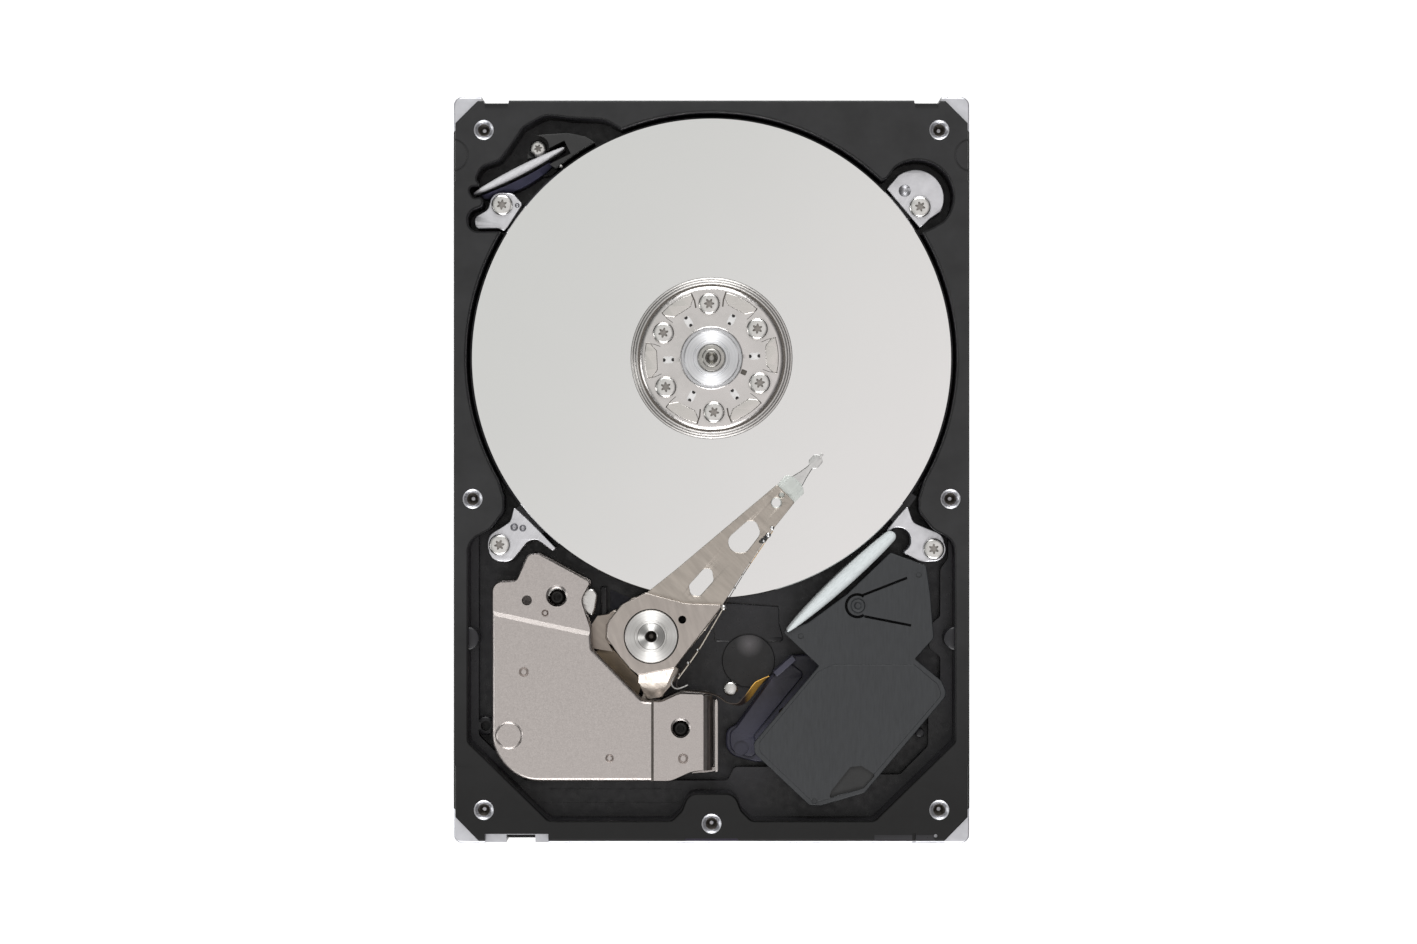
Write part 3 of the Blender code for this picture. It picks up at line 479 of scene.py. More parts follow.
def coated():
    """The black coating, darker towards the connector end by painted shade, which stands in for the dimmer
    reflection of the light there.
    """
    s = Surface("black_coating_painted_shade", (0.0216, 0.0216, 0.0226), 0.0, 0.34)
    s.set(Specular_IOR_Level=0.38)
    s.shade(s.noise(6.0), 0.8, 1.25)
    s.gloss(s.noise(1.2), 0.3, 0.4)
    s.relief(s.noise(0.55, detail=2), 0.02, 0.35)
    # Painted shade: the mottled base colour is scaled from 1.0 at y = -18 mm down to 0.12 at y = -68 mm.
    axes = s.nodes.new("ShaderNodeSeparateXYZ")
    s.links.new(s.place, axes.inputs["Vector"])
    mottled = s.shader.inputs["Base Color"].links[0].from_socket
    painted_shade_scale = s.nodes.new("ShaderNodeVectorMath")
    painted_shade_scale.operation = "SCALE"
    s.links.new(mottled, painted_shade_scale.inputs[0])
    s.links.new(s.span(axes.outputs["Y"], 0.12, 1.0, -68 * MM, -18 * MM), painted_shade_scale.inputs["Scale"])
    s.links.new(painted_shade_scale.outputs["Vector"], s.shader.inputs["Base Color"])
    return s.material


def floor_coating_and_shade():
    """The coating inside the casting, a little glossier and bluer; also painted shade on the separator ring
    and links deep in the gap round the platters.
    """
    s = Surface("inner_coating_and_painted_shade", (0.018, 0.0175, 0.021), 0.0, 0.3)
    s.shade(s.noise(5.0), 0.75, 1.3)
    s.gloss(s.noise(1.5), 0.24, 0.4)
    s.relief(s.noise(0.5, detail=2), 0.02, 0.3)
    return s.material


def machined(name, colour=(0.78, 0.78, 0.8), roughness=0.34, depth=0.006, angle=0.0):
    """Bright aluminium with milling marks that run one way."""
    s = Surface(name, colour, 1.0, roughness)
    marks = s.noise(0.25, s.vector((14, 0.8, 1), angle), detail=3)
    s.shade(s.noise(2.5), 0.9, 1.06)
    s.gloss(marks, roughness - 0.06, roughness + 0.1)
    s.relief(marks, depth, 0.5)
    return s.material


def arm_metal(name, colour, angle):
    """The arm's aluminium, with milling marks and small dark flecks."""
    s = Surface(name, colour, 1.0, 0.34)
    marks = s.noise(0.3, s.vector((0.9, 16, 1), angle), detail=3)
    s.shade(s.noise(1.1, s.vector((1, 6, 1), angle), detail=6), 0.88, 1.1)
    s.gloss(marks, 0.28, 0.46)
    s.relief(marks, 0.005, 0.5)
    return s.material


def turned_metal(name, centre, colour, roughness, spread):
    """Metal with the fine rings that a lathe leaves, which spread the light along each radius."""
    s = Surface(name, colour, 1.0, roughness)
    rings = s.fine_rings(centre, 0.18, 3)
    s.gloss(rings, roughness - 0.05, roughness + 0.08)
    s.shade(rings, 0.9, 1.06)
    s.relief(rings, 0.004, 0.5)
    s.spread(spread)
    return s.material


def steel(name="bright_steel", colour=(0.78, 0.77, 0.75), roughness=0.2):
    s = Surface(name, colour, 1.0, roughness)
    s.shade(s.noise(1.4), 0.88, 1.08)
    s.gloss(s.noise(0.4), roughness - 0.05, roughness + 0.12)
    s.relief(s.noise(0.12, detail=2), 0.002, 0.4)
    return s.material


def clamp_steel(name="clamp_steel", colour=(0.74, 0.715, 0.7)):
    s = Surface(name, colour, 1.0, 0.2)
    s.shade(s.noise(3.5), 0.95, 1.04)
    s.gloss(s.noise(0.7), 0.15, 0.3)
    s.relief(s.noise(0.25, detail=2), 0.003, 0.4)
    return s.material


def clamp_rim():
    """The clamp's stepped rim, with fine dark rings of painted reflection, which stand in for the dark
    surroundings mirrored in its steps.
    """
    s = Surface("clamp_rim", (0.74, 0.72, 0.7), 1.0, 0.3)
    turns = s.nodes.new("ShaderNodeMath")
    turns.operation = "MULTIPLY"
    turns.inputs[1].default_value = 2 * math.pi / (0.52 * MM)
    s.links.new(s.rings(SPINDLE), turns.inputs[0])
    painted_reflection_rings = s.nodes.new("ShaderNodeMath")
    painted_reflection_rings.operation = "SINE"
    s.links.new(turns.outputs[0], painted_reflection_rings.inputs[0])
    s.shade(s.span(painted_reflection_rings.outputs[0], 0, 1, -1, 1), 0.42, 1.05, 0.15, 0.6)
    s.gloss(s.noise(0.8), 0.24, 0.4)
    s.spread(0.7)
    return s.material


def nickel():
    """Satin nickel plating with a fine speckle and a few rubbed spots."""
    s = Surface("nickel_plating", (0.535, 0.495, 0.475), 1.0, 0.36)
    speckle = s.noise(0.22, detail=6, rough=0.7)
    s.shade(speckle, 0.86, 1.12, 0.36, 0.66)
    s.gloss(s.noise(0.5, detail=5), 0.3, 0.44)
    s.relief(speckle, 0.004, 0.45)
    s.relief(s.noise(9.0), 0.04, 0.25)
    return s.material


def mirror():
    """A polished platter with a trace of concentric texture."""
    s = Surface("platter_mirror", (0.9, 0.9, 0.893), 1.0, 0.07)
    s.gloss(s.fine_rings(SPINDLE, 1 / 0.9, 2), 0.055, 0.085)
    s.shade(s.noise(30.0, detail=2), 0.985, 1.0)
    return s.material


def plastic(name, colour, roughness=0.5, grain=0.25, depth=0.012):
    s = Surface(name, colour, 0.0, roughness)
    s.shade(s.noise(3.0, detail=6), 0.85, 1.16)
    s.gloss(s.noise(0.6), roughness - 0.08, roughness + 0.1)
    s.relief(s.noise(grain, detail=3), depth, 0.5)
    return s.material


def lid_plastic():
    """Moulded plastic with a faint grain that runs along the drive."""
    s = Surface("lid_plastic", (0.029, 0.031, 0.034), 0.0, 0.44)
    grain = s.noise(0.3, s.vector((1, 9, 1)), detail=4)
    s.shade(grain, 0.86, 1.14)
    s.gloss(grain, 0.36, 0.52)
    s.relief(grain, 0.006, 0.4)
    return s.material


def fibre(name="filter_fibre", colour=(0.74, 0.79, 0.8)):
    """Pressed white filter fibre."""
    s = Surface(name, colour, 0.0, 0.85)
    strands = s.noise(0.3, s.vector((5, 1, 1), math.radians(43)), detail=6, rough=0.7)
    s.shade(strands, 0.86, 1.12)
    s.gloss(strands, 0.75, 0.95)
    s.relief(strands, 0.05, 0.6)
    s.set(Sheen_Weight=0.25, Sheen_Roughness=0.5)
    return s.material


def flex_film():
    """Polyimide film over copper tracks, amber where it opens out by the bracket and darkened along the arm
    by painted shade.
    """
    s = Surface("flex_film", (0.05, 0.028, 0.014), 0.0, 0.3)
    axes = s.nodes.new("ShaderNodeSeparateXYZ")
    s.links.new(s.place, axes.inputs["Vector"])
    # Painted shade: the film is dark below x = 6.6 mm and turns amber by x = 8.2 mm.
    s.shade(s.span(axes.outputs["X"], 0, 1, 6.6 * MM, 8.2 * MM), (0.045, 0.027, 0.016), (0.9, 0.5, 0.08),
            0.0, 1.0)
    tracks = s.noise(0.45, s.vector((60, 60, 1)), detail=1)
    s.gloss(tracks, 0.24, 0.4, 0.45, 0.55)
    s.relief(tracks, 0.01, 0.5)
    s.set(Coat_Weight=0.4, Coat_Roughness=0.2)
    return s.material


def copper():
    """Enamelled wire, wound side by side."""
    s = Surface("copper_wire", (0.32, 0.13, 0.06), 1.0, 0.34)
    turns = s.noise(0.2, s.vector((30, 30, 1)), detail=1)
    s.shade(turns, 0.6, 1.2)
    s.gloss(turns, 0.22, 0.42)
    s.relief(turns, 0.03, 0.7)
    return s.material


def solder_mask():
    """The board's green lacquer over raised copper tracks."""
    s = Surface("solder_mask", (0.006, 0.06, 0.035), 0.0, 0.3)
    brick = s.nodes.new("ShaderNodeTexBrick")
    brick.inputs["Scale"].default_value = 1 / (9 * MM)
    brick.inputs["Mortar Size"].default_value = 0.03
    brick.inputs["Brick Width"].default_value = 1.7
    brick.inputs["Color1"].default_value = (0.005, 0.045, 0.028, 1)
    brick.inputs["Color2"].default_value = (0.008, 0.075, 0.045, 1)
    brick.inputs["Mortar"].default_value = (0.012, 0.12, 0.07, 1)
    s.links.new(s.vector(angle=math.radians(0.01)), brick.inputs["Vector"])
    s.links.new(brick.outputs["Color"], s.shader.inputs["Base Color"])
    s.gloss(s.noise(1.5), 0.24, 0.38)
    s.relief(brick.outputs["Fac"], 0.03, 0.5)
    s.relief(s.noise(0.4), 0.006, 0.4)
    return s.material


def pale_floor():
    s = Surface("studio_floor", (0.9, 0.9, 0.9), 0.0, 0.6)
    s.shade(s.noise(60.0), 0.99, 1.0)
    s.set(Emission_Color=(1, 1, 1, 1), Emission_Strength=0.62)
    return s.material


BLACK = coated()
INNER_AND_SHADE = floor_coating_and_shade()
BARE = machined("bare_casting", (0.66, 0.665, 0.7), 0.36, 0.004)
TAB = machined("tab_aluminium", (0.74, 0.74, 0.77), 0.34, 0.004, math.radians(60))
ARM = arm_metal("arm_aluminium", (0.47, 0.425, 0.378), ARM_ANGLE)
HUB_FACE = arm_metal("arm_hub_face", (0.47, 0.425, 0.39), 0.3)
LOBE_SHADE = arm_metal("arm_lobe_painted_shade", (0.385, 0.335, 0.295), 0.8)
SKIRT_SHADE = plastic("coil_skirt_painted_shade", (0.19, 0.145, 0.095), 0.42)
STEEL = steel()
PAINTED_SHADE_STEEL = steel("shaded_steel", (0.17, 0.155, 0.14), 0.45)
PAINTED_SHADE_PIT = plastic("painted_shade_pit", (0.012, 0.01, 0.009), 0.6)
THREAD = steel("threaded_metal", (0.3, 0.28, 0.26), 0.4)
CLAMP = clamp_steel()
NICKEL = nickel()
MIRROR = mirror()
HUB_METAL = turned_metal("turned_hub", SPINDLE, (0.85, 0.86, 0.88), 0.37, 0.68)
CLAMP_RIM = clamp_rim()
CLAMP_PAD = clamp_steel("clamp_pad", (0.74, 0.715, 0.685))
SLOT_FACE = steel("slot_face", (0.97, 0.97, 0.97), 0.3)
POST_STEEL = steel("post_steel", (0.5, 0.49, 0.465), 0.25)
HUB_EDGE_HIGHLIGHT = steel("hub_edge_highlight", (0.62, 0.57, 0.5), 0.4)
PAINTED_SHADE_RECESS = steel("recess_painted_shade_steel", (0.34, 0.32, 0.3), 0.4)
TAB_DENT_SHADE = steel("tab_dent_painted_shade", (0.42, 0.42, 0.44), 0.4)
LAVENDER_SHADE = machined("notch_wall_painted_shade", (0.06, 0.055, 0.075), 0.4)
SPACER = machined("spacer_aluminium", (0.7, 0.7, 0.72), 0.3, 0.003)
CAP_METAL = turned_metal("turned_cap", PIVOT, (0.76, 0.75, 0.73), 0.38, 0.8)
CAP_CORE = turned_metal("turned_core", PIVOT, (0.72, 0.71, 0.69), 0.42, 0.65)
LID = lid_plastic()
BRACKET = plastic("bracket_plastic", (0.04, 0.039, 0.062), 0.36)
SHADE = plastic("shade_plastic", (0.05, 0.05, 0.085), 0.4)
CLIP = plastic("clip_plastic", (0.018, 0.018, 0.018), 0.45)
PALE_PLASTIC = plastic("pale_plastic", (0.85, 0.85, 0.83), 0.45)
FIBRE = fibre()
WHITE_FIBRE = fibre("white_fibre", (0.68, 0.68, 0.7))
FILM = flex_film()
COPPER = copper()
GOLD = steel("gold_plating", (0.83, 0.55, 0.18), 0.25)
SOLDER = steel("solder", (0.62, 0.62, 0.62), 0.25)
MASK = solder_mask()
CHIP = plastic("chip_epoxy", (0.02, 0.02, 0.021), 0.55, 0.12)
CERAMIC = plastic("capacitor_ceramic", (0.28, 0.17, 0.09), 0.5)
FOAM = plastic("insulator_foam", (0.03, 0.03, 0.03), 0.9, 0.4, 0.05)
SUSPENSION = steel("suspension_steel", (0.72, 0.72, 0.71), 0.16)
BASE_PLATE = machined("base_plate", (0.72, 0.76, 0.73), 0.35, 0.004, ARM_ANGLE)


# ---------------------------------------------------------------- casting

COVER_HOLES = [(-44.8, 66.9), (44.8, 66.9), (-47.0, -5.7), (47.0, -5.7), (-44.8, -66.9), (44.8, -66.9),
               (0.0, -69.6)]
TAB_SCREWS = [(-41.4, 52.4), (41.2, 52.0), (-41.9, -14.8), (43.9, -15.6)]
BOARD_SCREWS = [(-41.5, -62.0), (41.5, -66.0), (-41.5, 4.5), (41.5, 4.5)]


def deck_outline():
    right = [(46.0, 72.62, 0.3), (50.4, 68.25, 0.3), (50.4, 57.0, 0.3), (50.7, 56.6, 0.3), (50.7, -58.0, 0.3),
             (50.4, -58.4, 0.3), (50.4, -68.3, 0.4), (45.8, -73.0, 0.4)]
    return rounded(right + mirrored(right))


def bay_outline():
    right = [(7.9, -69.0, 1.6), (32.0, -69.0, 1.5), (47.9, -53.5, 1.5), (47.9, -14.0, 3.5),
             (43.5, -11.6, 3.0), (40.9, -8.2, 2.5), (40.9, -5.5, 3.0), (42.8, 0.6, 3.0), (38.0, 6.0)]
    return rounded([(-4.6, -63.6, 3.0), (4.6, -63.6, 3.0), (5.9, -67.0, 2.0), *right,
                    *mirrored(right), (-5.9, -67.0, 2.0)])


def deep_bay_outline():
    return rounded([(-46.4, -19.0, 1.5), (-46.4, -52.9, 1.5), (-37.2, -61.9, 1.5), (3.2, -61.9, 1),
                    (4.6, -59.2, 1), (31.0, -59.2, 1), (32.5, -60.7, 1), (37.6, -60.7, 1.5),
                    (43.2, -55.0, 1.5), (43.2, -45.0, 1), (45.6, -42.0, 1.5), (45.6, -37.2, 1),
                    (43.4, -35.4, 1), (43.4, -31.0, 1), (45.6, -29.2, 1), (45.6, -19.8, 1),
                    (47.2, -17.5, 1), (47.2, -13.2, 2), (38.0, 2.0), (-38.0, 2.0), (-46.4, -13.0, 2),
                    (-46.4, -16.0, 1)])


def filter_pocket_outline():
    return rounded([(-16.0, 66.0), (-21.0, 69.0, 5), (-28.0, 69.3, 5), (-32.6, 69.9, 4), (-37.0, 67.5, 3),
                    (-39.6, 63.6, 3), (-41.6, 61.0, 2.5), (-45.4, 59.6, 2.5), (-46.4, 57.2, 1),
                    (-45.4, 56.0, 0.6), (-48.1, 55.6, 0.8), (-46.9, 53.4, 0.8), (-45.1, 53.8, 0.8),
                    (-45.0, 52.0, 1), (-48.1, 50.8, 2.5), (-47.8, 46.9, 2), (-41.0, 46.9, 1.5),
                    (-38.0, 40.0), (-20.0, 50.0)])


def corner_pocket_outline():
    return [(30.0, 52.0), (33.2, 56.9), (34.5, 57.4), *arc(40.5, 53.9, 7.15, 128, -45, 40), (43.4, 47.6),
            (41.2, 46.6), (36.0, 44.0)]


def side_hole(side, y):
    hole = disc(0, 0, MOUNT_HOLE_RADIUS, -3.0, 3.6, 32)
    sideways = Matrix.Rotation(-side * math.pi / 2, 4, "Y")
    hole.transform(Matrix.Translation((side * HALF_WIDTH, y, SIDE_HOLE_HEIGHT)) @ sideways)
    return hole


def underside_cutters():
    far = rounded([(45.3, 13.5, 2), (45.3, 48.0, 2), (36.0, 66.5, 6), (-36.0, 66.5, 6), (-45.3, 48.0, 2),
                   (-45.3, 13.5, 2)])
    cutters = [box(-45.3, -80, 45.3, 10.4, -3, 4.6, 1.5),
               box(-43.4, -81, 12.6, -62.6, -4, 7.4, 0.8),
               plate(far, -3, 3.4)]
    cutters += [disc(x, y, 1.25, 3.6, 6.6, 24) for x, y in BOARD_SCREWS]
    for side in (-1, 1):
        cutters += [disc(side * BOTTOM_HOLE_X, y - HALF_LENGTH, MOUNT_HOLE_RADIUS, -1, 5.2, 32)
                    for y in BOTTOM_HOLE_PLACES]
        cutters += [side_hole(side, y - HALF_LENGTH) for y in SIDE_HOLE_PLACES]
    return cutters


def edge_cutters():
    """Notches along both ends, half-moon marks on the sides and the seats of the cover screws."""
    cutters = []
    for x, y in COVER_HOLES:
        thread = [(1.0 + 0.14 * (k % 2), DECK_TOP - 3.2 + 0.22 * k) for k in range(12)]
        cutters.append(lathe([(0, DECK_TOP - 3.6), (0.36, DECK_TOP - 3.6), (0.95, DECK_TOP - 3.2), *thread,
                              (1.2, DECK_TOP - 0.6), (1.62, DECK_TOP - 0.22), (1.93, DECK_TOP - 0.15),
                              (2.0, DECK_TOP + 1), (0, DECK_TOP + 1)], x, y, 48))
    cutters.append(box(-45.3, 72.75, 45.3, 80, -3, DECK_TOP + 8))
    for side in (-1, 1):
        x0, x1 = sorted((side * 44.8, side * 39.9))
        cutters.append(box(x0, 72.1, x1, 80.2, -4, DECK_TOP + 3, 0.2))
        cutters.append(box(x0 + 0.2, 71.15, x1 - 0.2, 71.85, DECK_TOP - 0.35, DECK_TOP + 4, 0.2))
        cutters.append(cut(disc(side * 51.0, 61.9, 3.3, DECK_TOP - 0.3, DECK_TOP + 2, 48),
                           disc(side * 51.0, 61.9, 2.9, DECK_TOP - 1, DECK_TOP + 3, 48)))
    cutters.append(box(-44.6, -80, -32.1, -71.6, DECK_TOP - 4, DECK_TOP + 5))
    cutters.append(box(-40.5, -81, -34.8, -72.0, 8.6, DECK_TOP + 6))
    cutters.append(box(-5.2, -80, 5.2, -72.5, DECK_TOP - 0.9, DECK_TOP + 5))
    cutters.append(box(32.0, -80, 43.8, -71.8, DECK_TOP - 0.4, DECK_TOP + 5))
    cutters.append(box(39.5, -80.5, 40.2, -71.5, DECK_TOP - 1.2, DECK_TOP + 7))
    cutters.append(disc(44.1, -72.0, 0.35, DECK_TOP - 0.9, DECK_TOP + 7, 24))
    return cutters


def casting_material(centre, normal):
    """Bare metal on the corners, screw seats and end notches, and the inner coating below the deck."""
    x, y, z = centre
    seat = min((Vector((x, y)) - Vector(hole)).length for hole in COVER_HOLES)
    under_deck = z < DECK_TOP - 0.5
    if 1.15 < seat < 2.2 and DECK_TOP - 0.7 < z < DECK_TOP - 0.02:
        return BARE
    if BODY_TOP - 0.4 < z < DECK_TOP - 0.3 and abs(x) + abs(y) > 117.3 and normal.z > 0.3:
        return BARE
    if -20.4 < x < -15.5 and -28.7 < y < -23.7 and 5 < z < BAY_FLOOR - 0.5:
        return SHADE
    if seat < 1.15 and z > DECK_TOP - 3.7 and under_deck:
        return BARE if seat < 0.3 else THREAD
    if y < -73.0 and z > BODY_TOP - 1.0 or math.hypot(x - 44.1, y + 72.0) < 0.3 and under_deck:
        return BARE
    # Painted shade: the back wall and floor of the middle notch take a dark lavender copy of the bare metal.
    if -73.05 < y < -72.4 and abs(x) < 5.3 and z > BODY_TOP - 1.0 and under_deck:
        return LAVENDER_SHADE
    if x < -31 and y < -71.4 and z > 15 and under_deck and normal.z > 0.5:
        return BARE
    if 32 < x < 43.8 and y < -71.7 and DECK_TOP - 0.6 < z < DECK_TOP - 0.2:
        return INNER_AND_SHADE
    return INNER_AND_SHADE if under_deck and z > 5.0 and abs(x) < 48.6 and -70 < y < 71.0 else BLACK


def casting():
    body = plate(box_outline(-HALF_WIDTH, -HALF_LENGTH, HALF_WIDTH, HALF_LENGTH, 1.7), 0, BODY_TOP,
                 edge=0.35, steps=3)
    shell = join(body, plate(deck_outline(), 20, DECK_TOP, edge=0.22, steps=2))
    top = DECK_TOP + 3
    bay, pocket, corner = bay_outline(), filter_pocket_outline(), corner_pocket_outline()
    well = circle(*SPINDLE, WELL_RADIUS, 240)
    shell = cut(shell, plate(bay, LEDGE, top), plate(deep_bay_outline(), BAY_FLOOR, LEDGE + 1),
                plate(well, WELL_FLOOR, top), plate(pocket, POCKET_FLOOR, top),
                plate(corner, POCKET_FLOOR, top),
                *[flare(outline, DECK_TOP, 0.32) for outline in (bay, well, pocket, corner)])
    shell = join(shell, *floor_features())
    holes = [disc(x, y, 1.15, WELL_FLOOR, POCKET_FLOOR + 1, 24) for x, y in TAB_SCREWS]
    shell = cut(shell, *holes, *floor_cutters(), *underside_cutters(), *edge_cutters())
    shell = cut(join(shell, disc(*SPINDLE, 18.0, 2.6, 6.6, 96)), disc(*SPINDLE, 16.0, 5.2, 8.6, 96))
    shell = cut(join(shell, disc(*SPINDLE, 5.2, 4.2, 12.0, 64)), disc(*SPINDLE, 4.2, 3.6, 14.0, 64))
    piece("casting", split_corners(shell), [BLACK, INNER_AND_SHADE, BARE, THREAD, LAVENDER_SHADE, SHADE], "drive_body",
          "base_casting", sort=casting_material)


def split_corners(mesh):
    """Splits the faces along each bare corner and end strip, so that these can have their own material."""
    bm = bmesh.new()
    bm.from_mesh(mesh)
    planes = [((sx * 50.4, sy * 66.9, 0), (sx, sy, 0)) for sx in (-1, 1) for sy in (-1, 1)]
    for point, normal in [*planes, ((0, -73.05, 0), (0, 1, 0))]:
        geometry = [*bm.verts, *bm.edges, *bm.faces]
        bmesh.ops.bisect_plane(bm, geom=geometry, dist=0.0005, plane_co=point, plane_no=normal)
    bm.to_mesh(mesh)
    bm.free()
    return mesh


def floor_features():
    """Posts, ribs and raised lands inside the bay."""
    parts = [disc(x, y, 2.6, BAY_FLOOR - 1, 10.3, 40) for x, y in TAB_SCREWS[2:]]
    parts += [disc(side * 48.2, -33.3, 2.3, LEDGE - 1, DECK_TOP - 4.5, 48, 0.3) for side in (-1, 1)]
    land = rounded([(0.6, -34.4, 0.6), (14.6, -34.4, 0.8), (13.6, -31.0, 1), (13.4, -27.3), (0.2, -26.4)])
    parts.append(plate(land, BAY_FLOOR - 1, BAY_FLOOR + 0.45, edge=0.2))
    rib = rounded([(-22.1, -23.2, 0.2), (-20.9, -23.4, 0.2), (-20.9, -28.9, 0.2), (-22.1, -29.0, 0.2)])
    parts.append(plate(rib, BAY_FLOOR - 1, 10.6, edge=0.2))
    parts.append(disc(-45.0, -51.0, 1.9, BAY_FLOOR - 1, LEDGE - 0.2, 40, 0.3))
    parts.append(disc(41.4, -52.2, 0.9, BAY_FLOOR - 1, LEDGE + 4, 24, 0.2))
    return parts


def floor_cutters():
    """Shallow recesses in the floors."""
    ring = disc(7.4, -38.2, 5.55, BAY_FLOOR - 0.3, 9, 72)
    triangle = rounded([(-20.3, -23.8, 0.3), (-20.3, -28.6, 0.3), (-15.6, -25.9, 0.3)])
    ledge_line = cut(box(-34.0, -66.3, -5.5, -63.2, LEDGE - 0.3, LEDGE + 2, 0.6),
                     box(-33.6, -65.9, -5.9, -63.6, LEDGE - 1, LEDGE + 3, 0.5))
    return [ring, plate(triangle, BAY_FLOOR - 0.8, 9), ledge_line,
            disc(-45.0, -51.0, 1.0, BAY_FLOOR, LEDGE + 3, 24)]


def floor_seal():
    """A glossy round seal set in the floor, with a painted highlight towards its far edge."""
    s = Surface("seal_film_painted_highlight", (0.03, 0.029, 0.031), 0.0, 0.32)
    # Painted highlight: a pale patch that fades out within 3 mm of a point 3.4 mm beyond the seal's centre.
    reach = s.span(s.rings((7.6, -34.8)), 1.0, 0.0, 0.0, 3.0 * MM)
    s.shade(reach, (0.016, 0.0155, 0.017), (0.2, 0.19, 0.2), 0.05, 1.0)
    s.gloss(s.noise(0.8), 0.26, 0.4)
    s.relief(s.noise(1.5), 0.03, 0.3)
    seal = lathe([(0, BAY_FLOOR - 0.3), (5.3, BAY_FLOOR - 0.3), (5.3, BAY_FLOOR - 0.1), (5.15, BAY_FLOOR),
                  (0, BAY_FLOOR + 0.02)], 7.4, -38.2, 72)
    piece("floor_seal", seal, s.material, "drive_body")


# ---------------------------------------------------------------- screws

def star(radius, inner):
    """A six-lobed recess seen from above."""
    points = []
    steps = 48
    for i in range(steps):
        a = 2 * math.pi * i / steps
        r = (radius + inner) / 2 + (radius - inner) / 2 * math.cos(6 * a)
        points.append((r * math.cos(a), r * math.sin(a)))
    return points


def screw(name, node, body, head, shank, turn, flip=False):
    """A pan head screw with a six-lobed recess, a bevelled rim and a washer face."""
    low, high = spot(node)
    x, y = (low.x + high.x) / 2, (low.y + high.y) / 2
    if flip:
        low, high = Vector((0, 0, -high.z)), Vector((0, 0, -low.z))
    seat = high.z - 0.9
    profile = [(0, low.z + 0.3), (shank - 0.2, low.z), (shank, low.z + 0.5), (shank, seat), (head, seat),
               (head, seat + 0.4), (head - 0.06, seat + 0.62), (head - 0.2, seat + 0.8),
               (head - 0.42, seat + 0.88), (head - 0.75, seat + 0.9), (0, seat + 0.9)]
    mesh = lathe(profile, 0, 0, 56)
    mesh = cut(mesh, plate(star(head * 0.5, head * 0.27), seat + 0.3, seat + 2))
    mesh.transform(Matrix.Rotation(math.radians(turn), 4, "Z"))
    if flip:
        mesh.transform(Matrix.Rotation(math.pi, 4, "X"))
    top = -(seat + 0.9) if flip else seat + 0.9

    def sort(centre, normal):
        near = math.hypot(centre[0] - x, centre[1] - y) < head * 0.56
        # Painted shade: the faces inside the recess take a darker copy of the steel.
        return PAINTED_SHADE_RECESS if near and 0.02 < abs(centre[2] - top) < 1.0 else STEEL
    mesh.transform(Matrix.Translation((x, y, 0)))
    piece(name, mesh, [STEEL, PAINTED_SHADE_RECESS], body, node, sort=sort)


# ---------------------------------------------------------------- spindle

def platters():
    for name in ("platter_lower", "platter_middle", "platter_upper"):
        low, high = spot(name)
        z0, z1, r = low.z, high.z, PLATTER_RADIUS
        profile = [(12.45, z0), (r - 0.15, z0), (r, z0 + 0.15), (r, z1 - 0.15), (r - 0.15, z1), (12.45, z1)]
        piece(f"{name}_disc", lathe(profile, *SPINDLE, 288), MIRROR, "platter_stack", name)
    for name in ("platter_spacer_lower", "platter_spacer_upper"):
        low, high = spot(name)
        profile = [(12.5, low.z), (15.3, low.z), (15.4, low.z + 0.1), (15.4, high.z - 0.1), (15.3, high.z),
                   (12.5, high.z)]
        piece(f"{name}_ring", lathe(profile, *SPINDLE, 96), SPACER, "platter_stack", name)


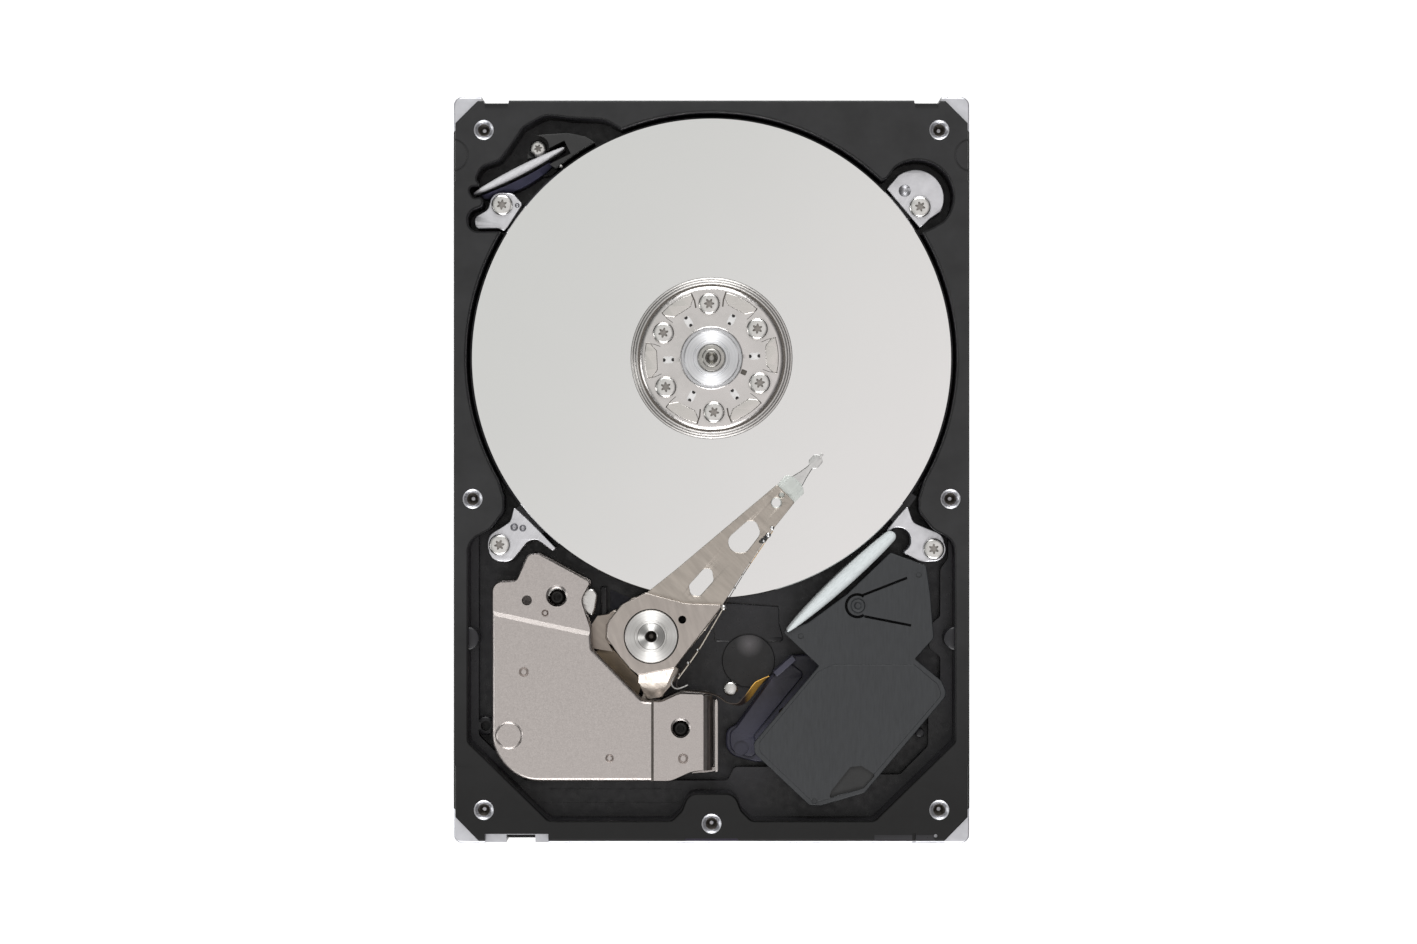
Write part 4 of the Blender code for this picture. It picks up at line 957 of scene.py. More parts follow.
def clamp():
    z = PLATTER_TOP
    profile = [(6.0, 21.6), (13.2, 21.6), (14.2, z + 0.03), (15.9, z + 0.03), (16.0, z + 0.12),
               (16.0, z + 0.3), (15.92, z + 0.4), (15.6, z + 0.45), (15.54, z + 0.6), (15.48, z + 0.68),
               (15.16, z + 0.73), (15.1, z + 0.88), (15.04, z + 0.96), (14.62, z + 1.02),
               (14.52, z + 0.9), (14.24, z + 0.9), (14.16, z + 1.5), (14.06, z + 1.66), (13.85, z + 1.76),
               (13.4, z + 1.85), (6.35, z + 1.85), (6.1, z + 1.95), (6.0, z + 1.75)]
    mesh = lathe(profile, *SPINDLE, 192)
    top = z + 1.85
    slot = rounded([(-1.1, -0.7, 0.5), (1.1, -0.7, 0.5), (1.1, 0.7, 0.5), (-1.1, 0.7, 0.5)])
    cutters, pads = [], []
    for k in range(6):
        screw_turn, slot_turn = 92.5 + 60 * k, 122.5 + 60 * k
        cutters.append(disc(*polar(CLAMP_SCREW_CIRCLE, screw_turn), 1.35, 20, 24, 32))
        cutters.append(disc(*polar(CLAMP_SCREW_CIRCLE, screw_turn), 2.35, top - 0.18, 24, 48))
        turned_slot = turn_points(slot, math.radians(slot_turn), polar(8.5, slot_turn))
        cutters.append(plate(turned_slot, top - 0.35, 24))
        pads.append(pad_mesh(slot_turn, top))
        width = 0.28 if k % 3 == 0 else 0.1
        for side in (-1, 1):
            line = strip([(10.0, side * 2.65), (11.4, side * 2.85), (12.9, side * 3.45)], width)
            cutters.append(plate(turn_points(line, math.radians(screw_turn), SPINDLE), top - 0.4, 26))
    mark_turn = -24
    mark = polar(6.95, mark_turn)
    square = rounded([(-0.55, -0.5, 0.15), (0.55, -0.5, 0.15), (0.55, 0.5, 0.15), (-0.55, 0.5, 0.15)])
    cutters.append(plate(turn_points(square, math.radians(mark_turn), mark), top - 0.5, 24))
    mesh = cut(join(mesh, *pads), *cutters)

    def sort(centre, normal):
        reach = math.hypot(centre[0] - SPINDLE[0], centre[1] - SPINDLE[1])
        # Painted shade: the square mark, the groove in the rim, the counterbores round the screws and the
        # grooves beside the pads are coloured dark steel.
        if math.hypot(centre[0] - mark[0], centre[1] - mark[1]) < 0.85 and centre[2] < top - 0.02:
            return PAINTED_SHADE_STEEL
        if abs(reach - 14.38) < 0.16 and centre[2] < z + 0.95:
            return PAINTED_SHADE_STEEL
        turn = math.degrees(math.atan2(centre[1] - SPINDLE[1], centre[0] - SPINDLE[0]))
        side = math.radians((turn - 62.5) % 60 - 30)
        beside = math.hypot(reach * math.cos(side) - CLAMP_SCREW_CIRCLE, reach * math.sin(side))
        if centre[2] < top - 0.05 and (1.9 < beside < 2.4 or 9.9 < reach < 13.0 and 2.4 < beside < 4.4):
            return PAINTED_SHADE_STEEL
        if 7.3 < reach < 9.7 and centre[2] < top - 0.3 and normal.z > 0.5:
            return SLOT_FACE
        if reach > 14.4:
            return CLAMP_RIM
        return CLAMP_PAD if centre[2] > top + 0.02 and reach > 10.3 else CLAMP
    piece("clamp_ring", mesh, [CLAMP, PAINTED_SHADE_STEEL, CLAMP_RIM, CLAMP_PAD, SLOT_FACE], "platter_stack",
          "disk_clamp", sort=sort)
    # Painted shade: dark pins at each end of the slots stand in for the shade in the openings.
    pins = [disc(*polar(reach, 122.5 + 60 * k), 0.34, top - 0.5, top - 0.2, 20)
            for k in range(6) for reach in (7.6, 9.4)]
    piece("clamp_slot_ends", merged(*pins), PAINTED_SHADE_PIT, "platter_stack")
    for k in range(6):
        screw(f"clamp_screw_head_{k + 1}", f"clamp_screw_{k + 1}", "platter_stack", 2.1, 1.1, 17 * k)


def pad_mesh(angle, top):
    """A raised sector between two clamp screws, with sloped ends."""
    half = [(10.7, 0.0), (10.7, 1.9, 0.5), (11.9, 3.4, 0.5), (12.7, 3.6, 0.5)]
    corners = [*[(x, -y, *r) for x, y, *r in reversed(half[1:])], *half[1:], *arc(0, 0, 13.25, 15, -15, 20)]
    outline = turn_points(rounded(corners), math.radians(angle), SPINDLE)
    return plate(outline, top - 0.3, top + 0.22, edge=0.16, steps=2)


def hub():
    top = spot("spindle_hub")[1].z
    profile = [(4.6, 13.4), (4.6, 20.6), (2.9, 20.6), (2.75, top - 0.5), (2.75, top - 0.1), (2.85, top),
               (3.3, top), (3.4, top - 0.12), (3.55, top - 0.12), (3.65, top), (5.25, top),
               (5.45, top - 0.2), (5.45, 21.3), (12.4, 21.3), (12.4, 9.9), (15.4, 9.9), (15.4, 8.2),
               (13.0, 8.2), (13.0, 5.9), (11.2, 5.9), (11.2, 13.4)]
    piece("hub_turned", lathe(profile, *SPINDLE, 144), HUB_METAL, "platter_stack", "spindle_hub")
    low, high = spot("spindle_shaft")
    t = high.z
    shaft = [(0, low.z), (2.2, low.z), (2.2, t - 1.6), (2.55, t - 1.5), (2.6, t - 0.5), (2.5, t - 0.35),
             (1.9, t - 0.3), (1.75, t - 0.05), (1.6, t), (1.25, t), (1.15, t - 0.15), (1.15, 20.4),
             (0.6, 20.2), (0.5, 21.2), (0, 21.3)]
    piece("spindle_post", lathe(shaft, *SPINDLE, 96), POST_STEEL, "drive_body", "spindle_shaft")


# ---------------------------------------------------------------- separator plates

def tab_outlines():
    return [
        rounded([(-40.2, 48.1, 0.3), (-37.3, 52.6, 0.6), (-39.3, 54.8, 1.8), (-43.3, 54.9, 2.4),
                 (-44.3, 51.4, 1.5), (-47.0, 50.0, 1.3), (-46.7, 47.6, 1.0), (-42.2, 47.7, 1.5),
                 (-41.0, 47.2, 0.4)]),
        [(34.7, 55.5), (35.1, 56.2), *arc(40.3, 53.7, 5.7, 128, -28, 40), (44.4, 50.4), (43.2, 49.6),
         (41.9, 48.3), (41.1, 47.9)],
        rounded([(-39.1, -7.2, 0.3), (-39.8, -10.2, 2), (-44.2, -12.9, 2.2), (-44.1, -17.9, 2.6),
                 (-39.7, -18.3, 2.4), (-35.4, -13.0, 2.2), (-31.4, -16.1, 0.3), (-30.7, -15.5, 0.3),
                 (-33.7, -12.4), (-36.3, -9.8)]),
        rounded([(38.8, -7.0, 0.3), (39.9, -10.4, 2), (45.7, -12.7, 2.6), (46.8, -17.9, 2.8),
                 (41.5, -18.3, 3), (38.0, -16.5, 0.3), *arc(36.9, -13.9, 2.5, -59, 125, 24),
                 (34.4, -12.3, 0.2), (36.2, -9.9)]),
    ]


TAB_DIMPLES = [(-38.4, 52.3, 0.5), (38.2, 55.2, 1.25), (-39.0, -11.3, 0.8), (-37.3, -11.5, 0.7)]


def separators():
    links = ((141.5, 146.5, 46.5), (35, 42, 46.5), (217.5, 226, 46.5), (-42, -34, 43.5))
    for name in ("separator_lower", "separator_upper"):
        upper = name.endswith("upper")
        level = ARM_LEVELS[2 if upper else 1]
        tab_low, tab_high = (15.2, 20.4) if upper else (10.5, 15.0)
        ring = arc(*SPINDLE, 47.9, -35, 226, 200) + arc(*SPINDLE, 24.2, 226, -35, 120)
        mesh = plate(ring, level - 0.5, level + 0.5, edge=0.12)
        tabs = [plate(outline, tab_low, tab_high, edge=0.22, steps=2) for outline in tab_outlines()]
        bars = [plate(arc(*SPINDLE, 49.0, a, b, 6) + arc(*SPINDLE, r, b, a, 6), level - 0.55, level + 0.55)
                for a, b, r in links]
        mesh = join(mesh, *tabs, *bars)
        cutters = [disc(x, y, 1.25, 8, 24, 24) for x, y in TAB_SCREWS]
        if upper:
            cutters += [lathe([(0, tab_high - 0.5), (r * 0.5, tab_high - 0.42), (r, tab_high + 0.02),
                               (r, tab_high + 1), (0, tab_high + 1)], x, y, 40) for x, y, r in TAB_DIMPLES]
            cutters += [disc(x, y, 2.3, tab_high - 0.12, 24, 48) for x, y in TAB_SCREWS]

        def sort(centre, normal, level=level, high=tab_high):
            x, y, z = centre
            reach = math.hypot(x - SPINDLE[0], y - SPINDLE[1])
            # Painted shade: the ring and links, deep in the gap round the platters, take the dark inner
            # coating instead of bare aluminium.
            if abs(z - level) < 0.57 and (abs(normal.z) > 0.5 or reach < 48.3):
                return INNER_AND_SHADE
            near = min(math.hypot(x - a, y - b) - r for a, b, r in TAB_DIMPLES)
            # Painted shade: the faces inside the dimples take a darker copy of the tab's aluminium.
            return TAB_DENT_SHADE if near < -0.02 and high - 0.6 < z < high - 0.02 else TAB
        piece(f"{name}_plate", cut(mesh, *cutters), [TAB, TAB_DENT_SHADE, INNER_AND_SHADE], "drive_body", name,
              sort=sort)
    for i in range(1, 5):
        screw(f"separator_screw_head_{i}", f"separator_screw_{i}", "drive_body", 2.1, 0.9, 23 * i)


# ---------------------------------------------------------------- arm

def arm_points(points):
    """Places in the drive, seen from the arm's own frame."""
    c, s = math.cos(ARM_ANGLE), math.sin(ARM_ANGLE)
    return [((x - PIVOT[0]) * c + (y - PIVOT[1]) * s, (y - PIVOT[1]) * c - (x - PIVOT[0]) * s, *r)
            for x, y, *r in points]


HUB_REAR = [(-18.7, -27.7, 2), (-20.5, -30.0, 2), (-20.8, -33.0, 2), (-18.2, -36.7, 4), (-16.0, -39.3, 4),
            (-14.4, -40.5, 0.6)]


def sloped(top, bottom, high, low, foot):
    """A body under a sloped face: top and bottom are its outlines' edges at two heights."""
    upper = [(x, y, high) for x, y in top]
    lower = [(x, y, low) for x, y in reversed(bottom)]
    return loft([[(x, y, foot) for x, y, _ in upper + lower], upper + lower])


def comb_hub(top):
    """The hub round the pivot: narrow beside the platters, wider over them, with sloped faces at its rear."""
    rear = arm_points(HUB_REAR)
    foot = arm_points([(-7.3, -39.1, 0.6)])
    spindle = polar(math.dist(PIVOT, SPINDLE), 19.6, (0, 0))
    beside = [(0.5, 8.3, 2), *rear, *foot, (12.1, -6.56), *arc(*spindle, 47.95, 211.0, 199.6, 12),
              *arc(0, 0, 8.2, 24, 56, 8), (3.0, 7.9)]
    above = [(5.6, 6.7, 1), (0.5, 8.6, 2.5), *rear, *foot, (14.4, -6.1, 0.4), (9.4, -0.4, 9)]
    slope = sloped(arm_points([(-14.4, -40.4), (-7.4, -39.1)]), arm_points([(-14.4, -42.0), (-8.6, -41.9)]),
                   top - 0.15, top - 0.75, 18.0)
    tail = sloped(arm_points([(-14.4, -42.0), (-8.5, -41.6)]), arm_points([(-13.1, -45.0), (-9.7, -45.0)]),
                  19.5, 18.7, 12.0)
    cheek = sloped(arm_points([(-19.0, -28.4), (-20.9, -30.6), (-21.0, -33.3), (-19.5, -35.9)]),
                   arm_points([(-22.6, -28.9), (-23.7, -30.6), (-23.8, -33.4), (-23.4, -35.3)]),
                   19.7, 19.45, 15.0)
    return join(plate(rounded(beside), 7.9, top - 0.8, edge=0.2),
                plate(rounded(above), 20.9, top, edge=0.26, steps=2),
                slope, tail, cheek)


def arm_block():
    top = spot("arm_block")[1].z
    parts = []
    arm = rounded([(38.8, 2.45, 0.3), (12.5, 5.5, 4), (5.0, 6.6), (3.0, 0), (8.0, -7.0), (13.6, -6.1, 1),
                   (22.2, -4.5), (31.0, -3.1), (38.6, -2.5, 0.3)])
    windows = [rounded([(17.9, 0.4, 0.9), (16.4, -1.5, 0.9), (12.2, -1.6, 1.1), (11.2, -0.2, 1.0),
                        (12.3, 1.5, 1.1), (16.9, 1.6, 1.1)]),
               rounded([(30.7, 0.5, 1.6), (29.6, -1.9, 1.6), (24.6, -2.4, 1.9), (22.9, 0.0, 1.9),
                        (24.2, 2.3, 1.9), (29.7, 1.8, 1.7)])]
    swage = [circle(36.1, 0.1, 1.05, 40), circle(37.9, 0.35, 0.55, 24)]
    for level in reversed(ARM_LEVELS):
        holes = windows + (swage if level == ARM_LEVELS[-1] else swage[:1])
        parts.append(plate(arm, level - 0.5, level + 0.5, holes, edge=0.1))
    for side in (-1, 1):
        lobe = [(-1.0, side * 5.0), (-1.0, side * 8.9, 1), (-4.6, side * 9.7, 1), (-7.6, side * 9.9, 0.6),
                (-9.9, side * 8.2, 0.6), (-9.2, side * 6.6), (-6.0, side * 4.0)]
        prong = [(-4.0, side * 6.0), (-4.6, side * 9.2), (-7.4, side * 8.4), (-21.0, side * 12.9, 0.4),
                 (-21.4, side * 11.9), (-20.2, side * 10.4), (-9.2, side * 6.5), (-7.4, side * 4.6)]
        parts.append(plate(rounded(lobe), 11.7, 18.9, edge=0.3, steps=2))
        parts.append(plate(rounded(prong), 13.7, 16.7, edge=0.2))
    mesh = cut(join(comb_hub(top), *parts), disc(0, 0, 5.42, 5, 26, 96), disc(6.6, -2.2, 0.8, 19, 26, 32))
    hole = turn_points([(6.6, -2.2)])[0]

    def sort(centre, normal):
        # Painted shade: the walls of the small hole are coloured near black.
        if math.hypot(centre[0] - hole[0], centre[1] - hole[1]) < 0.9 and centre[2] < top - 0.05:
            return PAINTED_SHADE_PIT
        # Painted shade: the rear cheek and lobes beside the magnet plate take a darker copy of the arm's
        # aluminium.
        if centre[0] < -19.2 and 18 < centre[2] < top - 1:
            return LOBE_SHADE
        return HUB_FACE if centre[2] > top - 0.35 else ARM
    piece("comb", placed(mesh), [ARM, HUB_FACE, LOBE_SHADE, PAINTED_SHADE_PIT], "head_arm", "arm_block", sort=sort)
    inner = arm_points([(-20.4, -34.6), (-18.4, -36.6), (-16.2, -39.3), (-14.3, -41.2), (-13.8, -42.4)])
    outer = arm_points([(-23.6, -36.3), (-21.2, -38.9), (-18.9, -41.2), (-16.6, -43.5), (-14.6, -45.0)])
    # Painted shade: a dark olive brown skirt stands in for the coil's shaded side under the magnet plate.
    piece("coil_skirt", placed(sloped(inner, outer, 19.3, 18.7, 17.0)), SKIRT_SHADE, "head_arm",
          smooth=20)


def pivot():
    low, high = spot("pivot_sleeve")
    t = high.z
    sleeve = [(2.68, low.z), (5.22, low.z), (5.22, t - 0.2), (5.1, t), (3.35, t), (3.28, t - 0.06),
              (3.12, t - 0.06), (3.05, t), (2.72, t), (2.68, t - 0.05)]
    piece("pivot_cap", lathe(sleeve, *PIVOT, 128), CAP_METAL, "head_arm", "pivot_sleeve")
    low, high = spot("pivot_shaft")
    t = high.z
    c = spot("pivot_sleeve")[1].z
    shaft = [(0, low.z), (2.64, low.z), (2.64, c), (2.5, c + 0.12), (2.0, c + 0.3), (1.5, t - 0.1), (1.3, t),
             (1.15, t - 0.1), (1.05, t - 0.4), (1.05, 21.0), (0.55, 20.8), (0.45, 22.4), (0, 22.5)]

    def sort(centre, normal):
        # Painted shade: the centre hole is coloured dark steel.
        return PAINTED_SHADE_STEEL if math.hypot(centre[0] - PIVOT[0], centre[1] - PIVOT[1]) < 1.16 else CAP_CORE
    piece("pivot_post", lathe(shaft, *PIVOT, 96), [CAP_CORE, PAINTED_SHADE_STEEL], "drive_body", "pivot_shaft",
          sort=sort)


def coil():
    low, high = spot("voice_coil")
    outer = rounded([(-9.5, 5.6, 1.5), (-27.6, 11.8, 3), (-27.6, -11.8, 3), (-9.5, -5.6, 1.5)])
    window = rounded([(-13.4, 3.1, 1), (-23.6, 6.6, 1), (-23.6, -6.6, 1), (-13.4, -3.1, 1)])
    mesh = plate(outer, low.z, high.z, [window], edge=0.3, steps=2)
    piece("coil_winding", placed(mesh), COPPER, "head_arm", "voice_coil")


def suspension(number, level, facing):
    """A base plate, a folded load beam, a gimbal and the slider."""
    start = level + facing * 0.52
    rest = level + facing * (PLATTER_PITCH - PLATTER_THICK) / 2

    def at(z):
        return start + facing * z

    def slab(outline, z0, z1, holes=()):
        return plate(outline, *sorted((at(z0), at(z1))), holes, edge=0.03)

    base = rounded([(33.6, 2.2, 0.4), (33.6, -2.2, 0.4), (41.2, -2.6, 0.5), (41.9, -1.7, 0.4),
                    (41.9, 1.8, 0.4), (41.2, 2.45, 0.5)])
    parts = [slab(base, 0.0, 0.28, [circle(36.1, 0.1, 0.9, 32)])]
    beam = []
    rail = 0.16
    for x, half, drop in ((40.6, 1.5, 0.06), (42.2, 1.35, 0.1), (43.6, 0.95, 0.26), (45.2, 0.62, 0.42),
                          (46.2, 0.5, 0.52)):
        beam.append([(x, -half, at(drop + rail)), (x, -half + 0.14, at(drop)), (x, half - 0.14, at(drop)),
                     (x, half, at(drop + rail)), (x, half, at(drop + rail + 0.07)),
                     (x, half - 0.2, at(drop + 0.08)), (x, -half + 0.2, at(drop + 0.08)),
                     (x, -half, at(drop + rail + 0.07))])
    parts.append(loft(beam))
    gimbal = rounded([(45.9, -0.5, 0.3), (46.6, -1.15, 0.6), (48.3, -1.15, 0.8), (48.9, 0.0, 0.5),
                      (48.3, 1.15, 0.8), (46.6, 1.15, 0.6), (45.9, 0.5, 0.3)])
    parts.append(slab(gimbal, 0.5, 0.58))
    parts.append(slab(strip([(48.4, 0.0), (49.4, 0.0)], 0.5), 0.44, 0.52))
    ends = sorted((at(0.55), rest - facing * 0.22))
    parts.append(box(46.9, -0.5, 48.15, 0.5, *ends, 0.06, edge=0.03))

    def sort(centre, normal):
        return BASE_PLATE if (Vector(centre[:2]) - PIVOT).length < 42.0 else SUSPENSION
    piece(f"suspension_{number}", placed(merged(*parts)), [SUSPENSION, BASE_PLATE], "head_arm",
          f"head_suspension_{number}", sort=sort)


def suspensions():
    """One on each face of each arm, apart from the two outermost faces."""
    faces = [(level, facing) for level in ARM_LEVELS for facing in (-1, 1)][1:-1]
    for number, (level, facing) in enumerate(faces, 1):
        suspension(number, level, facing)


def arm_wiring():
    """The thin circuit along the arm's edge, with its solder beads and a blob of adhesive."""
    random.seed(7)
    path = smooth_path([(31.6, -3.25), (22.2, -4.75), (14.0, -6.45), (6.0, -8.1), (1.0, -8.95),
                        (-3.4, -9.4)], 8)
    over_platter = [point for point in path if point[0] > 10.5]
    beside_hub = path[len(over_platter) - 2:]
    ribbon = merged(plate(strip(over_platter, 0.12), PLATTER_TOP + 0.4, 21.4, edge=0.03),
                    plate(strip(beside_hub, 0.1), 19.0, 21.38, edge=0.03))
    piece("arm_circuit", placed(ribbon), FILM, "head_arm")
    # Painted highlight: a strip of paler metal along the hub's edge stands in for the bright line its rounded
    # edge catches.
    rim = smooth_path([(13.9, -6.5), (9.0, -7.65), (4.0, -8.75), (-2.5, -9.6)], 8)
    piece("hub_rim_highlight", placed(plate(strip(rim, 0.26), 22.6, 23.1, edge=0.08)), HUB_EDGE_HIGHLIGHT, "head_arm")
    beads = []
    for x, y, radius in ((31.9, -2.7, 0.42), (30.4, -3.1, 0.5), (28.9, -3.3, 0.38), (26.6, -3.8, 0.2),
                         (23.8, -4.3, 0.2), (21.1, -4.8, 0.2), (18.2, -5.5, 0.22), (13.9, -6.5, 0.55),
                         (8.8, -7.7, 0.22), (4.4, -8.5, 0.3), (1.2, -8.9, 0.34), (-1.6, -9.2, 0.26)):
        z = 22.75 if x > 10 else 23.35
        beads.append(lathe([(0, z - 0.35), (radius, z - 0.3), (radius * 1.05, z - 0.1),
                            (radius * 0.8, z + 0.12), (radius * 0.35, z + 0.24),
                            (0, z + 0.26)], x, y, 20))
    piece("arm_solder", placed(merged(*beads)), SOLDER, "head_arm")
    blob = []
    for _ in range(9):
        x, y = 29.8 + random.uniform(-1.6, 1.6), -3.0 + random.uniform(-0.35, 0.25)
        radius = random.uniform(0.25, 0.5)
        blob.append(lathe([(0, 22.4), (radius, 22.45), (radius * 0.8, 22.75), (0, 22.9)], x, y, 14))
    piece("arm_adhesive", placed(merged(*blob)), CLIP, "head_arm")
    wire = smooth_path([(-7.2, -40.7), (-7.95, -42.0), (-7.6, -42.95), (-6.8, -43.3), (-5.8, -43.05),
                        (-4.7, -42.55)], 6)
    piece("flex_clip", plate(strip(wire, 0.27), 18.4, 19.1, edge=0.08), PALE_PLASTIC, "head_arm")


# ---------------------------------------------------------------- magnet assembly

def yoke_outline():
    return rounded([(-34.2, -16.4, 1.0), (-23.7, -22.1, 0.8), (-25.6, -25.6, 2.2), (-23.8, -31.0, 2),
                    (-23.5, -35.3, 1.2), (-13.6, -45.4, 1.2), (-10.0, -45.7, 3), (-6.4, -44.0, 3),
                    (0.4, -44.2, 1.8), (0.4, -59.0, 0.4), (-4.0, -59.6, 4), (-8.0, -61.4, 4),
                    (-43.3, -61.4, 9.5), (-43.3, -22.0, 2.0), (-38.6, -21.9, 1.2), (-36.2, -16.6, 1.2)])


PLATE_HOLES = [(-30.5, -25.1, 1.85), (-6.1, -51.1, 1.75), (-36.4, -25.7, 1.0)]
PLATE_DIMPLES = [(-32.8, -28.2, 0.7), (-37.0, -39.8, 1.0), (-20.1, -56.8, 0.85), (-5.6, -56.9, 1.05)]


def bend_cutter(top):
    """Leaves the upper wing a little lower, past a shallow slope that faces it."""
    ends = []
    for x, y in ((-50.0, -26.75), (-18.0, -33.6)):
        ends.append([(x, y - 0.45, top), (x + 0.17, y + 0.4, top - 0.21), (x + 4.4, y + 21.0, top - 0.21),
                     (x + 4.4, y + 21.0, top + 3.0), (x, y - 0.45, top + 3.0)])
    return loft(ends)


def magnet_plates():
    top = spot("upper_magnet_plate")[1].z
    mesh = plate(yoke_outline(), 19.8, top, edge=0.75, steps=6)
    right = rounded([(-11.7, -65), (5, -65), (5, -40), (-11.7, -40)])
    mesh = cut(mesh, bend_cutter(top), plate(right, top - 0.3, 26.1),
               box(-11.9, -65, -11.4, -40, top - 1.6, 26.2))
    curl = []
    for y, shift in ((-44.6, -0.9), (-45.6, 0.0), (-58.4, 0.0), (-59.3, -1.6)):
        curl.append([(-2.4 + shift * 0.2, y, top - 0.42), (-1.6, y, top - 0.5), (-0.9, y, top - 0.95),
                     (-0.3, y, top - 1.8), (0.1, y, top - 3.2), (0.3, y, 12.0), (-1.4, y, 12.0),
                     (-1.5, y, 19.0), (-2.4, y, 19.9)])
    edge_cut = plate([(-1.7, -70), (5, -70), (5, -30), (-1.7, -30)], 19.0, 26)
    mesh = join(cut(mesh, edge_cut), loft(curl))
    holes = [disc(x, y, r, 18, 27, 56) for x, y, r in PLATE_HOLES]
    chamfers = [lathe([(0, top - 1.2), (r - 0.1, top - 0.5), (r + 0.3, top - 0.25), (r + 0.3, top + 1),
                       (0, top + 1)],
                      x, y + 0.28, 56) for x, y, r in PLATE_HOLES[:2]]
    rings = []
    for n, (x, y, r) in enumerate(PLATE_DIMPLES):
        z = top - 0.3 if n in (0, 3) else top
        rings.append(lathe([(r * 0.5, z - 0.02), (r * 0.75, z - 0.3), (r, z + 0.02), (r, z + 1),
                            (r * 0.5, z + 1)],
                           x, y, 40))
    pad = lathe([(2.3, top - 0.01), (2.5, top - 0.12), (2.75, top + 0.01), (2.75, top + 1), (2.3, top + 1)],
                -39.9, -52.3, 72)
    mesh = cut(mesh, *holes, *chamfers, *rings, pad)

    def sort(centre, normal):
        x, y, z = centre
        hole = min(math.hypot(x - a, y - b) - r for a, b, r in PLATE_HOLES)
        # Painted shade: the walls deep in the holes and the narrow groove are coloured dark steel.
        shaded = hole < 0.05 and z < top - 0.9 or -12.1 < x < -11.2 and y < -45 and z < top - 0.4
        return PAINTED_SHADE_STEEL if shaded else NICKEL
    piece("magnet_plate_top", mesh, [NICKEL, PAINTED_SHADE_STEEL], "drive_body", "upper_magnet_plate",
          smooth=10, sort=sort)

    foot = spot("lower_magnet_plate")[0].z
    mesh = plate(yoke_outline(), foot, 10.6, edge=0.3)
    lip = rounded([(0.62, -59.6, 0.5), (1.3, -59.6, 0.8), (1.3, -45.6, 0.6), (0.75, -45.2, 0.3), (0.62, -46)])
    tongue = rounded([(-4.0, -60.1), (-1.0, -59.9, 0.8), (1.3, -59.6, 0.4), (1.3, -58.8), (-3.4, -59.3)])
    mesh = join(mesh, box(0.2, -59.0, 1.3, -45.9, foot, 10.6), plate(lip, 9.6, 21.6, edge=0.14),
                plate(tongue, 9.6, 18.6, edge=0.14))
    piece("magnet_plate_bottom", mesh, NICKEL, "drive_body", "lower_magnet_plate")
    sector = arc(*PIVOT, 13.2, 193, 261, 40) + arc(*PIVOT, 27.6, 261, 193, 60)
    for name in ("upper_magnet", "lower_magnet"):
        low, high = spot(name)
        piece(f"{name}_sector", plate(sector, low.z, high.z, edge=0.3, steps=2), STEEL, "drive_body", name)
    # Painted shade: near-black heads deep in the two holes make them read dark.
    for (x, y, _), letter in zip(PLATE_HOLES, "ab"):
        head = lathe([(0, 12.0), (1.55, 12.0), (1.55, 20.4), (1.35, 20.9), (1.1, 21.1), (0.75, 21.1),
                      (0.7, 20.3), (0, 20.3)], x, y, 40)
        piece(f"plate_screw_{letter}", head, PAINTED_SHADE_PIT, "drive_body")


def magnet_posts():
    low, high = spot("crash_stop")
    outline = rounded([(-23.3, -23.4, 0.9), (-22.45, -24.6, 0.8), (-22.95, -27.6, 1.2), (-23.5, -29.0, 0.5),
                       (-24.6, -28.6, 0.8), (-26.2, -26.8, 1.5), (-26.2, -24.6, 1.5), (-25.0, -23.4, 1.0)])
    post = disc((low.x + high.x) / 2, (low.y + high.y) / 2, 2.0, low.z, 19.1, 56)
    piece("crash_post", join(post, plate(outline, 19.0, high.z, edge=0.5, steps=5)), STEEL, "drive_body",
          "crash_stop")
    turned = {
        "locating_pin": ("locating_pin_turned", 48, [(1.4, 0.0)], [(1.4, -0.35), (1.25, -0.1), (1.0, 0.0)]),
        "yoke_standoff": ("yoke_post", 40, [(2.2, 0.0), (2.4, 0.2)], [(2.4, -0.2), (2.2, 0.0)]),
    }
    for node, (name, steps, foot, head) in turned.items():
        low, high = spot(node)
        profile = [(0, low.z), *[(r, low.z + z) for r, z in foot], *[(r, high.z + z) for r, z in head],
                   (0, high.z)]
        piece(name, lathe(profile, *middle(node).xy, steps), STEEL, "drive_body", node)


# ---------------------------------------------------------------- filters

def pillow(start, end, half, low, high, blunt):
    """A soft pouch: pointed or blunt ends, a full middle and a rounded top edge."""
    a, b = Vector(start), Vector(end)
    along = b - a
    side = Vector((-along.y, along.x)).normalized()
    rings = []
    for t in [i / 40 for i in range(39)] + [0.968, 0.977, 0.985, 0.992, 0.997, 1.0]:
        grow = math.sin(math.pi * t) ** 0.62 if t < 1 else 0.0
        tip = math.sqrt(max(0.0, 1 - max(0.0, (t - 0.968) / 0.032) ** 2))
        width = half * grow + blunt[0] * (1 - t) + blunt[1] * t * tip + 0.02
        centre = a + along * t
        top = high - 0.9 * (1 - grow) ** 2
        ring = []
        for u, z in ((-1, low), (-1, top - width * 0.9), (-0.92, top - width * 0.5),
                     (-0.68, top - width * 0.18), (-0.3, top - 0.02), (0.3, top),
                     (0.68, top - width * 0.18), (0.92, top - width * 0.5), (1, top - width * 0.9),
                     (1, low)):
            p = centre + side * u * width
            ring.append((p.x, p.y, z))
        rings.append(ring)
    return loft(rings)


